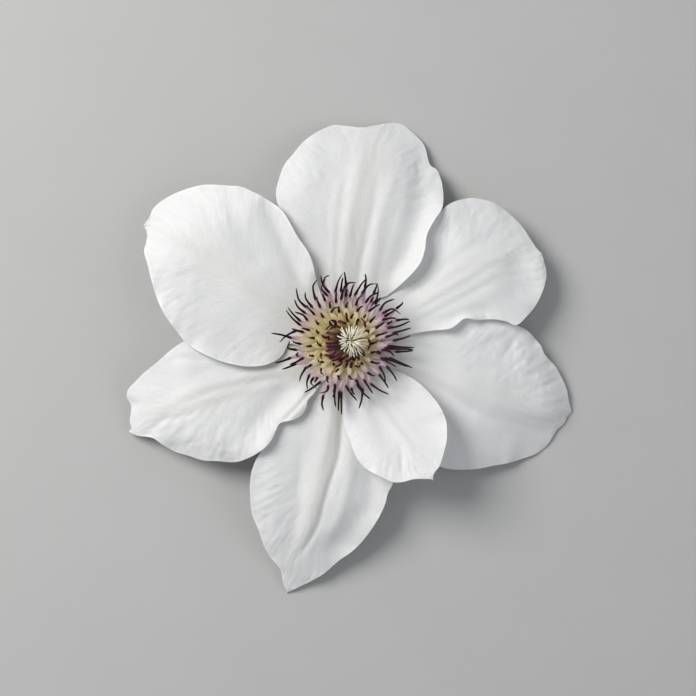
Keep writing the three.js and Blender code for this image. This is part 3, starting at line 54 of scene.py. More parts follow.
TEPALS = {
  "north": {
    "layer": 2, "tip_lift": -4.27, "curl_from": 38,
    "right": [[-1.5,4.6],[-7.5,13.2],[-13.3,25],[-18.3,36.2],[-22.6,46.5],[-22.8,50],[-21.8,54.1],[-20,59],[-16.9,63],[-13.4,67.3],[-9.6,70.3],[-5.5,72.6],[-2.7,73.7],[1.3,73.4],[6.1,72.8],[9.9,73.6],[14.1,74.5]],
    "left": [[2.7,4],[6.5,9.7],[10.4,14.3],[13.7,15.3],[19.4,19.9],[24.7,25.9],[26.3,30.3],[27.1,35.3],[29.5,40.1],[32.4,44.6],[33.4,50.6],[33,55.2],[31.8,58.7],[29.8,60.1],[27.9,67.3],[25.3,70.5],[23,72.7],[21,74.4],[17.9,75.1],[14.1,74.5]],
    "ridges": [
      { "line": [[0.9,10.7],[-1,24.5],[0.3,35.4],[2.3,47.1],[4.9,58.2],[7.8,68.3]], "rise": 0.75, "width": 2.63 },
      { "line": [[4.2,12.3],[5,23.9],[7.3,35.4],[9.7,47.2],[12.1,59.4]], "rise": -0.38, "width": 1.38 },
      { "line": [[-3.5,9],[-4.6,23.8],[-4,35.3],[-2.7,47],[-0.4,59.1]], "rise": 0.26, "width": 1.64 },
      { "line": [[-1.5,12.3],[-2.7,25.4],[-2.1,37],[-0.7,48.7],[1.2,58.1]], "rise": -0.16, "width": 1.15 },
      { "line": [[6.5,11.3],[8.7,25.5],[11.3,38.8],[15.2,51.4],[18.4,61.4]], "rise": 0.3, "width": 1.64 },
      { "line": [[9.1,12.3],[12.3,26.5],[15.6,38.9],[19.9,50.8]], "rise": -0.16, "width": 1.32 },
      { "line": [[11.1,12.3],[18.3,24.6],[23,35.6],[25.9,47.5],[26.6,59.9],[21.8,70.7]], "rise": -1.7, "width": 4.93 },
      { "line": [[14.8,14.3],[21,20.3],[26.3,26.6],[28.4,35.4],[33.1,44.3],[35.3,53.2]], "rise": 2.9, "width": 3.95 },
      { "line": [[-24.2,45.2],[-23.5,51],[-20.7,58.7],[-15.8,65.2],[-10.3,70.7]], "rise": -0.7, "width": 3.62 },
      { "line": [[-15.7,33.5],[-14.3,45.2],[-12.2,55.5],[-6.2,65.2]], "rise": 0.6, "width": 5.92 },
    ],
  },
  "north_west": {
    "layer": 3, "tip_lift": -0.76, "curl_from": 50,
    "right": [[-4.8,0.3],[-11.5,-2.4],[-18.6,-0.8],[-20.6,-4.2],[-23.9,-6.8],[-28.5,-8.2],[-34.4,-8.2],[-40.3,-6.9],[-45.5,-4.9],[-49.8,-2.6],[-53,-0],[-56.6,4.6],[-59.6,8.8],[-62.2,14.8],[-63.9,20.5],[-65.2,25.8],[-66.2,29.9],[-65.3,33.2],[-65.3,35.2],[-65.6,36.9],[-66.6,38.6]],
    "left": [[-2.7,4],[-6.6,12.2],[-9.7,20.4],[-11.4,26.6],[-13.1,30.2],[-16.1,34.4],[-19.4,40.4],[-21.7,43.6],[-26.3,46.9],[-30.2,49],[-34.5,51],[-38.1,51.4],[-42.7,51.8],[-46.6,51.9],[-50.2,51.2],[-54.5,49.9],[-58.1,48.3],[-62,45.6],[-64,43],[-64.3,41.6],[-65.7,39.6],[-66.6,38.6]],
    "ridges": [
      { "line": [[-10.9,9.8],[-18.3,16.3],[-26.9,22.8],[-36.1,29.3],[-46.3,33.9]], "rise": 0.3, "width": 1.48 },
      { "line": [[-9,13.8],[-15,18.3],[-24.3,26.1],[-33.2,31.6]], "rise": 0.16, "width": 0.99 },
      { "line": [[-10.9,4.5],[-18.3,7.7],[-27.6,12.2],[-36.1,19.4],[-46.3,25.9]], "rise": 0.18, "width": 1.32 },
      { "line": [[-11.6,7.2],[-21.6,13],[-31.5,20.1],[-40.7,26]], "rise": -0.16, "width": 1.32 },
      { "line": [[-9,16.4],[-10.7,25.6],[-14.8,34.1],[-19.1,42],[-25.6,48.6]], "rise": 2.6, "width": 3.62 },
      { "line": [[-12.3,15.1],[-16,23.6],[-20,32.1],[-24.3,41.6],[-28.9,48]], "rise": -1, "width": 2.96 },
      { "line": [[-18.2,-8.8],[-27.5,-10.1],[-36,-9.5],[-44.6,-6.9],[-52.4,-2.3]], "rise": 2, "width": 4.93 },
      { "line": [[-51.1,-3.6],[-60.9,6.2],[-65.5,16.2],[-68.2,28.2]], "rise": 0.8, "width": 4.61 },
      { "line": [[-72.8,26.3],[-70.2,37.6],[-65.7,47],[-57.1,53.7],[-49.2,56.4]], "rise": -2.2, "width": 6.58 },
      { "line": [[-26.3,22.8],[-29.6,28.7],[-34.2,35.2],[-37.5,43.9],[-39.4,50]], "rise": -0.6, "width": 3.95 },
      { "line": [[-27.5,3.7],[-36.8,8.2],[-46.6,13.4],[-55.7,18.7],[-61.6,22.8]], "rise": -0.5, "width": 5.26 },
      { "line": [[-49.1,-6.9],[-59.6,7.5],[-61,23.4],[-49.2,36],[-32.9,43.9],[-16.4,50]], "rise": 1.6, "width": 10.53 },
    ],
  },
  "west": {
    "layer": 2, "tip_lift": -5.72, "curl_from": 50,
    "right": [[-3.2,-3.6],[-6.5,-11],[-10.2,-16.9],[-12.6,-19.6],[-12.9,-21.6],[-14.9,-24.5],[-17.9,-25.9],[-21.5,-26.9],[-22.8,-28.8],[-24.1,-31.8],[-26.4,-34.7],[-29.1,-36.7],[-32,-38.3],[-35.9,-39.6],[-42.1,-39.3],[-47,-39],[-50.9,-37.7],[-56.1,-36.1],[-60.1,-33.8],[-63,-31.8],[-67.7,-31.1],[-70,-30.5],[-71.3,-29.8]],
    "left": [[-4.8,0.3],[-13.2,2.2],[-24.8,4.4],[-36.4,5],[-46.2,3.3],[-53,0],[-57.3,-2.9],[-62.1,-7.2],[-65.8,-10.1],[-69,-13.3],[-71.3,-15.9],[-71.7,-18.3],[-70.3,-20.9],[-70.3,-23.2],[-70.7,-26.2],[-70.3,-28.5],[-71.3,-29.8]],
    "ridges": [
      { "line": [[-8.1,-8],[-19.8,-9.7],[-34.7,-12.1],[-46.1,-15.1],[-55.9,-19.3],[-64.1,-23.9]], "rise": 0.55, "width": 2.3 },
      { "line": [[-10.8,-7.3],[-24.8,-6.8],[-36.3,-7.5],[-46.2,-9.8],[-54.9,-14.1]], "rise": -0.2, "width": 1.64 },
      { "line": [[-14.9,-13.3],[-27.4,-15.3],[-38.6,-17.3],[-49.4,-20.6],[-58.1,-25.2]], "rise": 0.24, "width": 1.64 },
      { "line": [[-18.2,-11.4],[-31.4,-13.4],[-42.9,-16],[-52.6,-20]], "rise": -0.18, "width": 1.15 },
      { "line": [[-55,-2.9],[-47.8,-3.6],[-39.6,-5.5]], "rise": 0.2, "width": 1.64 },
      { "line": [[-59.2,-6.8],[-52.7,-5.6],[-44.5,-6.9]], "rise": -0.2, "width": 1.32 },
      { "line": [[-10.8,-12],[-13.6,-19.9],[-18.2,-24.9],[-23.5,-30.5],[-28.1,-37],[-31.3,-40.9]], "rise": 2, "width": 3.29 },
      { "line": [[-16.9,-12],[-22.5,-19.3],[-28.4,-25.9],[-32.7,-33.1]], "rise": -0.8, "width": 3.29 },
      { "line": [[-9.2,-14.3],[-11.9,-17],[-13.9,-19.3],[-15.9,-21.6],[-17.9,-23.6],[-19.9,-25.5],[-22.2,-27.5]], "rise": -0.62, "width": 0.89 },
      { "line": [[-74,-16.9],[-70.7,-19.9],[-67,-21.9]], "rise": -0.45, "width": 1.32 },
      { "line": [[-68,-32.5],[-64,-29.5],[-59.8,-25.9],[-56.9,-23.9]], "rise": -0.5, "width": 1.48 },
      { "line": [[-73.7,-33.8],[-72.7,-25.9],[-74,-17.9]], "rise": -1.6, "width": 3.95 },
      { "line": [[-31.3,-39.6],[-42.8,-41],[-52.5,-39],[-62.4,-33.8]], "rise": -2.4, "width": 5.26 },
    ],
  },
  "south": {
    "layer": 1, "tip_lift": -3.8, "curl_from": 52,
    "right": [[1.1,-4.7],[5.9,-14.2],[11.7,-25.9],[16,-37.4],[16,-46.4],[14.4,-50],[13.1,-54.6],[8.9,-62.3],[5.1,-67.3],[2.2,-70],[-1.1,-72.3],[-6.2,-76.8],[-9.2,-78.8],[-13.1,-80.9],[-16,-82.3],[-18.3,-83.7]],
    "left": [[-3,-3.7],[-7.4,-12.6],[-14.8,-20.9],[-20.1,-25.9],[-22.8,-29.1],[-24.4,-31.8],[-27,-35.4],[-29,-38.3],[-30.6,-42.3],[-31.2,-46.2],[-31.2,-49.9],[-30.5,-56.5],[-28.1,-62.5],[-26,-68.2],[-23.6,-72],[-21.2,-74.7],[-20.4,-76.4],[-19.9,-78.8],[-19.4,-81.2],[-18.3,-83.7]],
    "ridges": [
      { "line": [[-2.8,-14.3],[-5.5,-27.5],[-7.6,-39],[-9.9,-50.5],[-12.7,-62.2],[-15.7,-72.3]], "rise": 1, "width": 3.29 },
      { "line": [[-0.5,-17.6],[-1.2,-29.2],[-2.3,-38.4],[-4.6,-45.6],[-6.9,-53.2],[-8.4,-59.5],[-12.5,-67.5],[-18.2,-75]], "rise": -0.58, "width": 1.09 },
      { "line": [[1.8,-20.9],[2,-35.8],[0.7,-47.3],[-2.2,-58.2],[-7.2,-68.2]], "rise": 0.55, "width": 2.3 },
      { "line": [[-13.8,-30.8],[-14.8,-45.6],[-15.1,-57.1],[-17.4,-69.6]], "rise": -0.35, "width": 1.97 },
      { "line": [[-21.4,-34.1],[-23.7,-47.2],[-23.2,-58.8],[-20.7,-70.6]], "rise": 0.6, "width": 4.61 },
      { "line": [[11,-35.8],[9.4,-49],[5.2,-58.9],[-1.2,-67.3],[-7,-73]], "rise": -1.5, "width": 4.61 },
      { "line": [[18.4,-40.8],[16.4,-52.3],[11.3,-62.3],[3.6,-71.4],[-5.5,-79.2]], "rise": 0.3, "width": 2.3 },
      { "line": [[-33.5,-48.9],[-31.7,-60.5],[-27.6,-69.6],[-22.1,-77.1]], "rise": -1, "width": 3.95 },
    ],
  },
  "south_small": {
    "layer": 3, "tip_lift": 3.65, "curl_from": 8,
    "right": [[4.1,-2.5],[9.1,-6.3],[13.9,-9.3],[16.9,-9.7],[20.8,-11.3],[24.3,-13.7],[28.1,-17.6],[30.9,-21.6],[32.7,-25.9],[32.9,-29.8],[32.5,-33.7],[31.4,-37.6],[30,-41.2],[28.6,-42.8],[27.9,-44.1],[27.9,-45.7]],
    "left": [[0.5,-4.8],[-0.6,-14.3],[-0.8,-23.9],[-0.6,-27.8],[1.3,-32.4],[2.2,-35.7],[4,-39.3],[6.9,-42.2],[11.1,-44.5],[14.9,-46.1],[17.9,-46.1],[21.8,-45.1],[26,-45.1],[27.3,-45.1],[27.9,-45.7]],
    "ridges": [
      { "line": [[5.1,-11],[11.4,-21.9],[16.8,-29.5],[22.4,-37.3],[28.2,-45.4]], "rise": 0.42, "width": 1.64 },
      { "line": [[9,-12.6],[15.4,-19.9],[19.8,-24.2],[25,-26.2],[32.6,-29.1]], "rise": -0.28, "width": 1.48 },
      { "line": [[2.3,-17.6],[6,-25.9],[9.1,-34.4],[13.4,-43.5]], "rise": 0.7, "width": 4.61 },
      { "line": [[-2.4,-20.9],[-1,-30.8],[2.1,-38.3],[8.8,-45.4]], "rise": -0.8, "width": 3.29 },
      { "line": [[17.4,-31.1],[18.1,-39.6],[18.4,-47.4]], "rise": -0.22, "width": 1.48 },
      { "line": [[20.8,-35],[24.5,-40.9],[27.6,-45.4]], "rise": -0.2, "width": 1.64 },
      { "line": [[24.4,-24.2],[29.2,-34.4],[29.6,-44.1]], "rise": -0.3, "width": 2.96 },
      { "line": [[33.6,-17.6],[35.2,-27.5],[34.3,-36.3]], "rise": 0.7, "width": 2.63 },
    ],
  },
  "east": {
    "layer": 0, "tip_lift": -1.58, "curl_from": 24,
    "right": [[4.7,0.8],[13.7,3.8],[25.3,8.1],[37.1,11.5],[49.1,11],[58.3,6.1],[61.9,4.5],[65.1,1.8],[67.3,-0.8],[68.4,-3.5],[72.5,-7.5],[74.8,-11.2],[76.7,-15],[77.6,-19.4],[78.8,-23.1]],
    "left": [[3.5,-3.3],[12,-12.6],[20.2,-25.9],[27,-35.8],[32.1,-41.2],[35.6,-42.2],[44.6,-42.3],[50.3,-41.3],[56.3,-40.3],[62.1,-38.7],[66.8,-37],[70.4,-34],[73.6,-29.2],[76.2,-26.9],[77.3,-24.8],[78.8,-23.1]],
    "ridges": [
      { "line": [[9.4,-3.2],[23.6,-7.9],[37,-13.2],[50.9,-19.8],[63.5,-23.1],[76.5,-23.1]], "rise": 1, "width": 3.95 },
      { "line": [[2.1,4.1],[28.7,-6.5],[43.9,-14.5],[59.8,-19.8],[89.2,-22.4]], "rise": 1, "width": 7.24 },
      { "line": [[12.1,-5.9],[25.3,-12.9],[34.7,-17.9],[45,-23.2],[56.4,-29.2]], "rise": -0.45, "width": 1.81 },
      { "line": [[10.4,-1.9],[25.3,-3.2],[40.5,-6.5],[56.1,-12.4],[70.8,-19.1]], "rise": 0.35, "width": 2.63 },
      { "line": [[18.6,-12.6],[30.6,-21.9],[39.5,-31.9],[45.3,-39.9]], "rise": -1, "width": 4.93 },
      { "line": [[12.2,-59.1],[27.4,-54.5],[41.1,-52.7],[55.2,-49.5],[67.9,-45.6],[80.3,-42.9]], "rise": -2.6, "width": 13.82 },
      { "line": [[54.3,-3],[63.3,-9.7],[70,-18.4],[73.3,-29.2]], "rise": 1.2, "width": 5.92 },
      { "line": [[60.5,-16.4],[68.8,-14],[76.7,-10.9]], "rise": -0.22, "width": 1.48 },
      { "line": [[60.4,-11.7],[68.8,-7.6],[75.2,-3.4]], "rise": -0.2, "width": 1.32 },
      { "line": [[57.5,-8.4],[65.5,-2.9],[70.7,0.6]], "rise": 0.22, "width": 1.64 },
      { "line": [[63.4,-20.1],[71.5,-18.4],[79.8,-16.3]], "rise": 0.2, "width": 1.32 },
      { "line": [[40.5,1.9],[50.8,3.6],[60.4,3.1]], "rise": 0.35, "width": 2.63 },
      { "line": [[40.5,8.2],[52.6,8.3],[62.6,5.2],[71.4,-2.1]], "rise": -0.6, "width": 2.96 },
    ],
  },
  "north_east": {
    "layer": 1, "tip_lift": 0.05, "curl_from": 50,
    "right": [[3.1,3.7],[8.6,9.7],[15.5,19],[22.4,30],[28.2,38.8],[32.7,44.2],[35.4,46.4],[38.9,47.8],[43.4,48.6],[47.6,48],[51.8,46.8],[55.9,43.8],[59.7,40.5],[62.8,36.2],[65.2,32.5],[67.3,30.1]],
    "left": [[4.8,-0.2],[12,0.4],[18.6,1.7],[22.2,2.7],[29.2,3.8],[34.9,4.4],[37.2,5.8],[39.9,7.8],[44,7.5],[49.4,7.8],[53.9,7.2],[57.7,5.9],[61.2,8.7],[64.5,12.4],[66.6,16.2],[68.1,20.3],[68.6,24],[67.9,27.4],[67.3,30.1]],
    "ridges": [
      { "line": [[15.9,8.1],[29.2,15.4],[40.6,22.2],[52.4,29.1],[63.1,34.1]], "rise": 0.36, "width": 1.97 },
      { "line": [[18.6,5.4],[31.9,12.8],[43.7,19.2],[54.1,26.4],[63.7,31.4]], "rise": 0.25, "width": 1.64 },
      { "line": [[17.9,7.1],[30.5,14.1],[42,20.8],[54.1,28.4]], "rise": -0.11, "width": 1.05 },
      { "line": [[19.9,3.1],[33.9,9.1],[44.7,14.2],[55,19.7]], "rise": 0.42, "width": 2.63 },
      { "line": [[19.2,4.4],[33.2,11.4],[43.3,16.8],[53.7,23]], "rise": -0.1, "width": 1.15 },
      { "line": [[16.9,11.4],[26.8,19.4],[35.2,26.8],[44.8,33],[55.4,36.6]], "rise": -0.35, "width": 1.97 },
      { "line": [[17.9,14.7],[26.5,22.7],[31.9,31.8],[35.4,43.6]], "rise": -1.2, "width": 4.61 },
      { "line": [[57,32.9],[58.9,22.8],[58.1,12.7]], "rise": -0.45, "width": 3.62 },
      { "line": [[65.2,30.8],[67.1,19.6],[64.1,9.7]], "rise": 0.4, "width": 2.96 },
      { "line": [[16.6,0.8],[27.9,2.1],[35.9,3.8],[40.6,6.5],[48,7.5]], "rise": 2.1, "width": 2.3 },
      { "line": [[21.9,6.7],[33.5,7.4],[43.6,10.2],[53.9,10.2]], "rise": -0.5, "width": 2.3 },
      { "line": [[50.8,49.5],[59.1,43.6],[65.3,35.6],[70.1,29.5]], "rise": -0.9, "width": 3.62 },
    ],
  },
}

STAMENS = [
  [0,0,7.2,16.73,7.04,17.09,18.91,7.13,19.68,20.08,6.79,21.87],
  [0,0,15.3,12.69,8.3,17.67,14.35,9.3,20.46,15.01,9.65,22.86],
  [0,0,19.8,16.75,11.0,17,17.91,11.99,19.8,18.06,12.32,22.2],
  [0,0,25.9,12.03,9.28,17.66,14.93,10.58,18.32,17.46,8.9,19.23],
  [0,0,32.2,11.03,10.26,17.69,12.61,12.54,18.32,15.48,13.82,19.18],
  [0,0,39.0,9.57,12.37,17.42,10.11,15.56,19.62,9.95,17.84,21.69],
  [0,1,51.0,8.08,13.17,17.63,8.43,14.16,20.43,8.14,14.16,22.82],
  [0,1,51.7,9.1,15.91,17.06,9.57,17.76,19.84,9.45,18.55,22.23],
  [0,1,60.0,6.14,17.85,17.06,6.27,20.01,18.92,5.66,21.78,21.5],
  [0,1,64.9,5.12,15.84,17.37,7.36,18.45,18.04,10.22,18.73,18.97],
  [0,1,72.1,2.79,15.27,17.59,4.45,18.26,19.35,5.93,20.27,20.71],
  [0,1,80.3,-0.14,18.79,17.06,-0.7,21.12,19.63,-1.26,22.35,21.8],
  [0,1,84.0,-0.78,17.79,17.14,0.69,18.98,18.97,2.73,18.81,21.5],
  [0,2,96.0,-1.85,16.45,17.39,-1.79,18.92,19.81,-1.62,20.38,21.83],
  [0,2,98.2,-3.77,16.35,17.34,-2.92,19.5,19.56,-1.85,21.67,21.37],
  [0,2,105.1,-5.76,16.1,17.28,-7.8,18.34,17.91,-8.53,21.22,18.78],
  [0,2,110.3,-7.71,19.4,16.96,-7.18,20.74,19.76,-6.2,20.97,22.16],
  [0,2,115.3,-6.43,15.1,17.42,-8.26,16.58,19.51,-8.84,17.67,22.41],
  [0,2,121.5,-7.11,13.44,17.66,-7.95,14.77,20.46,-8.22,15.04,22.86],
  [0,2,128.9,-10.36,13.77,17.25,-11.08,17.66,17.94,-9.85,19.9,18.89],
  [0,3,141.0,-11.38,11.12,17.52,-13.45,13.64,18.88,-13.93,15.47,20.75],
  [0,3,142.7,-13.32,11.13,17.23,-15.68,13.36,17.95,-16.74,16.89,18.96],
  [0,3,149.4,-13.66,9.15,17.41,-16.05,11.03,18.58,-17.15,13.2,20.2],
  [0,3,157.6,-15.3,6.52,17.37,-17.66,8.74,18.27,-19.38,10.62,19.5],
  [0,3,163.6,-15.3,5.2,17.47,-17.65,7.12,18.14,-20.01,9.66,19.08],
  [0,3,170.5,-16.61,3.48,17.31,-19.78,1.69,19.5,-21.98,-0.31,21.29],
  [0,3,174.0,-18.22,0.96,17.09,-21.22,1.9,17.76,-24.54,2.49,18.69],
  [0,4,186.0,-15.31,-1.04,17.63,-17.24,-0.71,20.43,-17.97,-0.3,22.83],
  [0,4,191.8,-16.6,-2.99,17.33,-19.32,-2.4,18.8,-18.81,-0.2,20.84],
  [0,4,198.6,-18.54,-5.6,17.03,-20.92,-6.64,18.44,-23.65,-7.36,20.38],
  [0,4,203.1,-16.26,-4.95,17.3,-16.7,-4.73,20.1,-15.99,-4.16,22.5],
  [0,4,209.2,-14.32,-5.61,17.62,-16.73,-6.98,19.31,-18.85,-7.71,21.63],
  [0,4,214.6,-16.9,-7.56,17.07,-18.99,-8.6,18.96,-21.12,-9.34,21.55],
  [0,4,219.0,-13.42,-8.66,17.51,-15.0,-11.19,19.95,-15.75,-13.17,22],
  [0,5,231.0,-12.33,-11.16,17.37,-13.11,-13.49,19.06,-12.96,-15.81,21.39],
  [0,5,236.4,-11.02,-12.13,17.42,-11.82,-13.81,19.28,-10.07,-15.48,21.85],
  [0,5,242.1,-9.72,-12.14,17.59,-10.64,-13.31,20.39,-10.8,-13.56,22.79],
  [0,5,248.8,-8.69,-13.56,17.48,-11.64,-15.59,19.07,-14.05,-16.77,20.25],
  [0,5,256.6,-7.7,-18.01,17.02,-8.17,-20.64,18.7,-7.72,-22.62,21.03],
  [0,5,261.3,-6.1,-14.74,17.51,-6.6,-16.41,19.47,-9.12,-17.11,22.18],
  [0,5,264.0,-4.1,-15.8,17.44,-4.05,-19.15,19.24,-3.76,-21.54,20.64],
  [0,6,276.1,-2.45,-16.7,17.32,-2.71,-19.99,18.3,-2.92,-22.93,18.87],
  [0,6,280.5,-1.81,-16.7,17.34,-1.75,-20.51,18.43,-1.65,-23.91,19.13],
  [0,6,289.1,1.54,-15.64,17.6,1.8,-17.11,20.4,1.93,-17.4,22.77],
  [0,6,298.4,5.53,-16.0,17.08,4.69,-19.51,19.01,3.54,-22.06,20.62],
  [0,6,306.5,7.93,-14.09,17.47,10.92,-16.2,18.97,13.42,-17.44,20.08],
  [0,7,321.0,10.91,-11.08,17.59,12.4,-13.61,19.94,13.19,-15.43,21.88],
  [0,7,325.6,13.36,-8.27,17.56,15.16,-10.94,19.73,16.11,-13.08,21.51],
  [0,7,333.8,14.33,-5.51,17.63,18.06,-7.25,18.81,21.35,-8.83,19.59],
  [0,7,341.6,16.45,-3.46,17.32,19.39,-3.33,19.68,21.34,-2.97,21.63],
  [0,7,350.5,15.62,0.24,17.58,18.51,0.85,19.87,20.41,1.45,21.76],
  [0,7,354.0,15.43,2.72,17.57,18.56,3.57,19.44,20.7,4.24,20.91],
  [1,0,8.8,12.93,1.36,18.34,16.0,2.27,20.19,16.33,1.5,22.74],
  [1,0,19.4,13.65,4.34,17.92,17.19,4.98,18.71,20.68,6.58,19.81],
  [1,0,28.0,13.66,5.83,17.68,14.52,6.28,20.47,14.3,6.49,22.91],
  [1,1,42.3,11.98,7.12,18.09,14.33,7.41,20.55,15.76,6.95,22.59],
  [1,1,51.5,7.29,9.86,18.6,9.15,11.14,21.11,10.38,11.56,23.23],
  [1,1,61.5,6.32,12.85,17.96,7.78,14.69,19.3,10.25,15.83,21.06],
  [1,2,78.3,3.0,11.8,18.63,3.45,13.64,20.64,4.46,14.76,23.42],
  [1,2,82.2,1.11,14.8,17.75,1.58,17.14,20.25,1.96,18.41,22.35],
  [1,2,90.5,-0.21,14.79,17.77,-0.31,16.19,20.57,-0.4,16.39,22.97],
  [1,2,97.0,-0.21,14.79,17.77,-0.47,16.35,20.57,-0.72,16.71,22.97],
  [1,2,101.7,-1.88,13.78,18.05,-1.54,15.96,20.68,-1.05,17.04,22.91],
  [1,3,115.2,-3.55,12.77,18.26,-3.79,14.8,21.06,-3.71,15.68,23.46],
  [1,3,125.5,-5.55,11.09,18.54,-5.89,12.28,21.34,-5.69,12.4,23.74],
  [1,3,136.1,-8.78,11.11,17.97,-9.86,13.04,20.75,-10.2,14.03,23.13],
  [1,4,150.3,-10.76,8.8,18.05,-12.56,10.31,20.81,-13.46,11.08,23.17],
  [1,4,157.5,-13.03,6.83,17.79,-14.47,8.37,19.38,-17.24,9.21,21.57],
  [1,4,168.2,-12.42,3.53,18.37,-14.34,3.88,21.17,-15.1,3.91,23.57],
  [1,4,173.7,-14.34,2.89,17.82,-16.88,3.36,20.49,-18.29,3.61,22.75],
  [1,5,189.6,-11.79,-1.71,18.73,-13.24,-1.91,21.53,-13.5,-1.93,23.93],
  [1,5,201.7,-11.12,-4.98,18.63,-12.37,-4.99,21.43,-12.52,-4.52,23.83],
  [1,5,209.7,-11.72,-7.9,17.98,-13.08,-8.8,20.78,-13.44,-9.04,23.18],
  [1,6,222.8,-8.49,-9.21,18.49,-8.79,-10.38,21.29,-8.28,-10.66,23.69],
  [1,6,234.1,-6.49,-11.81,18.19,-6.68,-13.21,20.99,-6.3,-13.56,23.39],
  [1,6,244.6,-3.84,-14.41,17.72,-4.02,-16.41,19.69,-4.93,-18.4,22.41],
  [1,7,258.3,-2.91,-11.49,18.76,-2.82,-12.63,21.56,-2.43,-12.59,23.96],
  [1,7,263.4,-0.26,-14.79,17.74,1.3,-17.11,18.35,3.54,-19.37,19.25],
  [1,7,274.9,3.43,-14.37,17.92,5.35,-16.98,18.69,7.54,-18.97,19.48],
  [1,7,281.4,3.03,-12.78,18.3,4.15,-15.1,20.18,5.18,-16.12,22.77],
  [1,8,294.3,5.7,-12.76,18.03,7.14,-15.27,19.91,8.28,-17.07,21.4],
  [1,8,301.5,6.97,-10.48,18.47,8.15,-11.37,21.27,8.67,-11.26,23.67],
  [1,8,314.5,10.97,-8.49,18.06,12.13,-11.14,19.43,12.23,-13.48,21.33],
  [1,9,330.3,11.26,-5.55,18.48,13.43,-6.89,19.61,15.87,-8.24,21.16],
  [1,9,332.4,12.62,-5.53,18.09,16.34,-7.11,19.25,19.64,-8.52,20.02],
  [1,9,342.2,11.56,-2.93,18.73,13.65,-3.32,20.55,14.97,-4.71,23.07],
  [1,9,350.2,12.59,-2.24,18.42,16.53,-2.55,18.59,21.8,-2.55,18.81],
  [1,9,353.7,13.62,-1.58,18.11,17.57,-1.9,18.28,22.17,-2.22,18.5],
  [2,0,9.0,9.48,1.61,19.62,11.55,2.25,22.25,12.51,2.7,24.48],
  [2,0,22.4,9.51,4.25,19.33,11.07,5.34,22.13,11.53,5.95,24.53],
  [2,0,36.2,7.51,6.19,19.58,8.5,7.41,22.38,8.56,7.87,24.78],
  [2,1,52.1,5.57,7.69,19.65,5.73,8.33,22.45,5.31,8.17,24.85],
  [2,1,64.2,3.25,9.79,19.37,4.15,10.85,22.17,4.66,10.78,24.57],
  [2,1,74.8,1.23,7.45,20.1,1.55,8.38,22.9,1.67,8.13,25.3],
  [2,1,82.9,-0.34,11.1,19.06,-0.29,12.18,21.86,-0.2,12.07,24.26],
  [2,2,101.2,-2.68,9.41,19.56,-3.1,10.64,22.36,-3.18,10.72,24.76],
  [2,2,114.3,-5.27,9.41,19.19,-4.51,10.48,21.99,-3.26,10.68,24.39],
  [2,2,127.9,-7.88,7.78,19.07,-8.7,8.7,21.87,-8.66,8.78,24.27],
  [2,3,142.1,-5.37,5.11,20.1,-6.04,6.03,22.9,-5.84,6.13,25.3],
  [2,3,150.1,-9.53,5.47,19.1,-10.43,6.28,21.9,-10.29,6.49,24.3],
  [2,3,159.0,-7.0,3.8,20.1,-5.54,5.01,22.08,-4.16,3.9,24.82],
  [2,3,172.1,-9.54,2.52,19.54,-10.36,3.1,22.34,-10.22,3.43,24.74],
  [2,4,187.1,-10.84,0.89,19.15,-12.3,0.81,21.95,-12.57,0.64,24.35],
  [2,4,198.0,-8.65,-1.73,19.85,-9.88,-1.05,22.65,-10.13,-0.17,25.05],
  [2,4,211.7,-8.52,-4.28,19.64,-8.97,-5.43,22.44,-8.53,-6.14,24.84],
  [2,5,232.1,-7.9,-6.95,19.29,-9.23,-7.11,22.09,-9.65,-6.47,24.49],
  [2,5,239.8,-4.41,-7.4,19.92,-4.78,-8.27,22.72,-4.64,-8.28,25.12],
  [2,5,252.9,-2.92,-9.33,19.57,-3.95,-10.17,22.37,-4.69,-10.06,24.77],
  [2,5,262.9,-0.05,-7.36,20.06,-0.66,-8.69,22.86,-1.23,-8.82,25.26],
  [2,6,279.1,0.72,-11.49,18.89,1.14,-12.64,21.69,1.49,-12.59,24.09],
  [2,6,290.7,2.87,-8.24,19.88,3.44,-8.72,22.68,3.62,-8.07,25.08],
  [2,6,304.6,4.56,-7.14,19.69,4.74,-7.8,22.53,4.63,-7.4,25.18],
  [2,7,322.1,7.86,-6.9,19.32,9.49,-7.37,22.12,10.21,-7.06,24.52],
  [2,7,331.1,7.8,-3.97,19.87,9.19,-3.72,22.06,10.15,-4.8,25.07],
  [2,7,342.3,10.11,-3.47,19.22,10.71,-3.88,22.02,10.36,-3.97,24.42],
  [2,7,352.9,7.85,-1.01,20.04,9.09,-0.56,22.87,9.18,0.06,25.27],
  [3,0,19.8,7.15,2.58,19.8,6.74,3.33,21.1,5.63,3.2,21.7],
  [3,0,37.1,6.02,4.55,19.6,5.52,5.93,21.2,4.47,7.04,21.8],
  [3,1,67.5,3.87,7.31,19.7,3.14,5.77,21,2.87,4.27,21.4],
  [3,1,87.4,0.28,6.16,19.5,-0.19,7.55,20.9,-0.8,9.11,22.1],
  [3,1,112.5,-3.03,6.45,19.8,-1.82,5.91,20.8,-0.55,5.08,21.2],
  [3,2,128.7,-3.85,4.81,19.8,-4.32,5.87,21.3,-4.92,6.94,22.5],
  [3,2,146,-5.67,3.82,19.9,-4.34,4.39,21.5,-2.42,3.8,21.9],
  [3,2,158.7,-6.91,2.7,19.64,-4.76,2.48,20.9,-2.53,2.29,21.4],
  [3,2,167.9,-5.97,1.28,19.6,-7.25,1.27,21.1,-8.64,1.28,22.1],
  [3,2,172.5,-6.31,0.55,19.8,-4.13,0.51,21,-1.88,0.63,21.4],
  [3,3,187.5,-7.07,-0.73,19.1,-4.92,-0.79,20.7,-2.52,-0.48,21.3],
  [3,3,195.9,-6.79,-1.93,19.7,-4.62,-1.91,21,-2.2,-1.46,21.4],
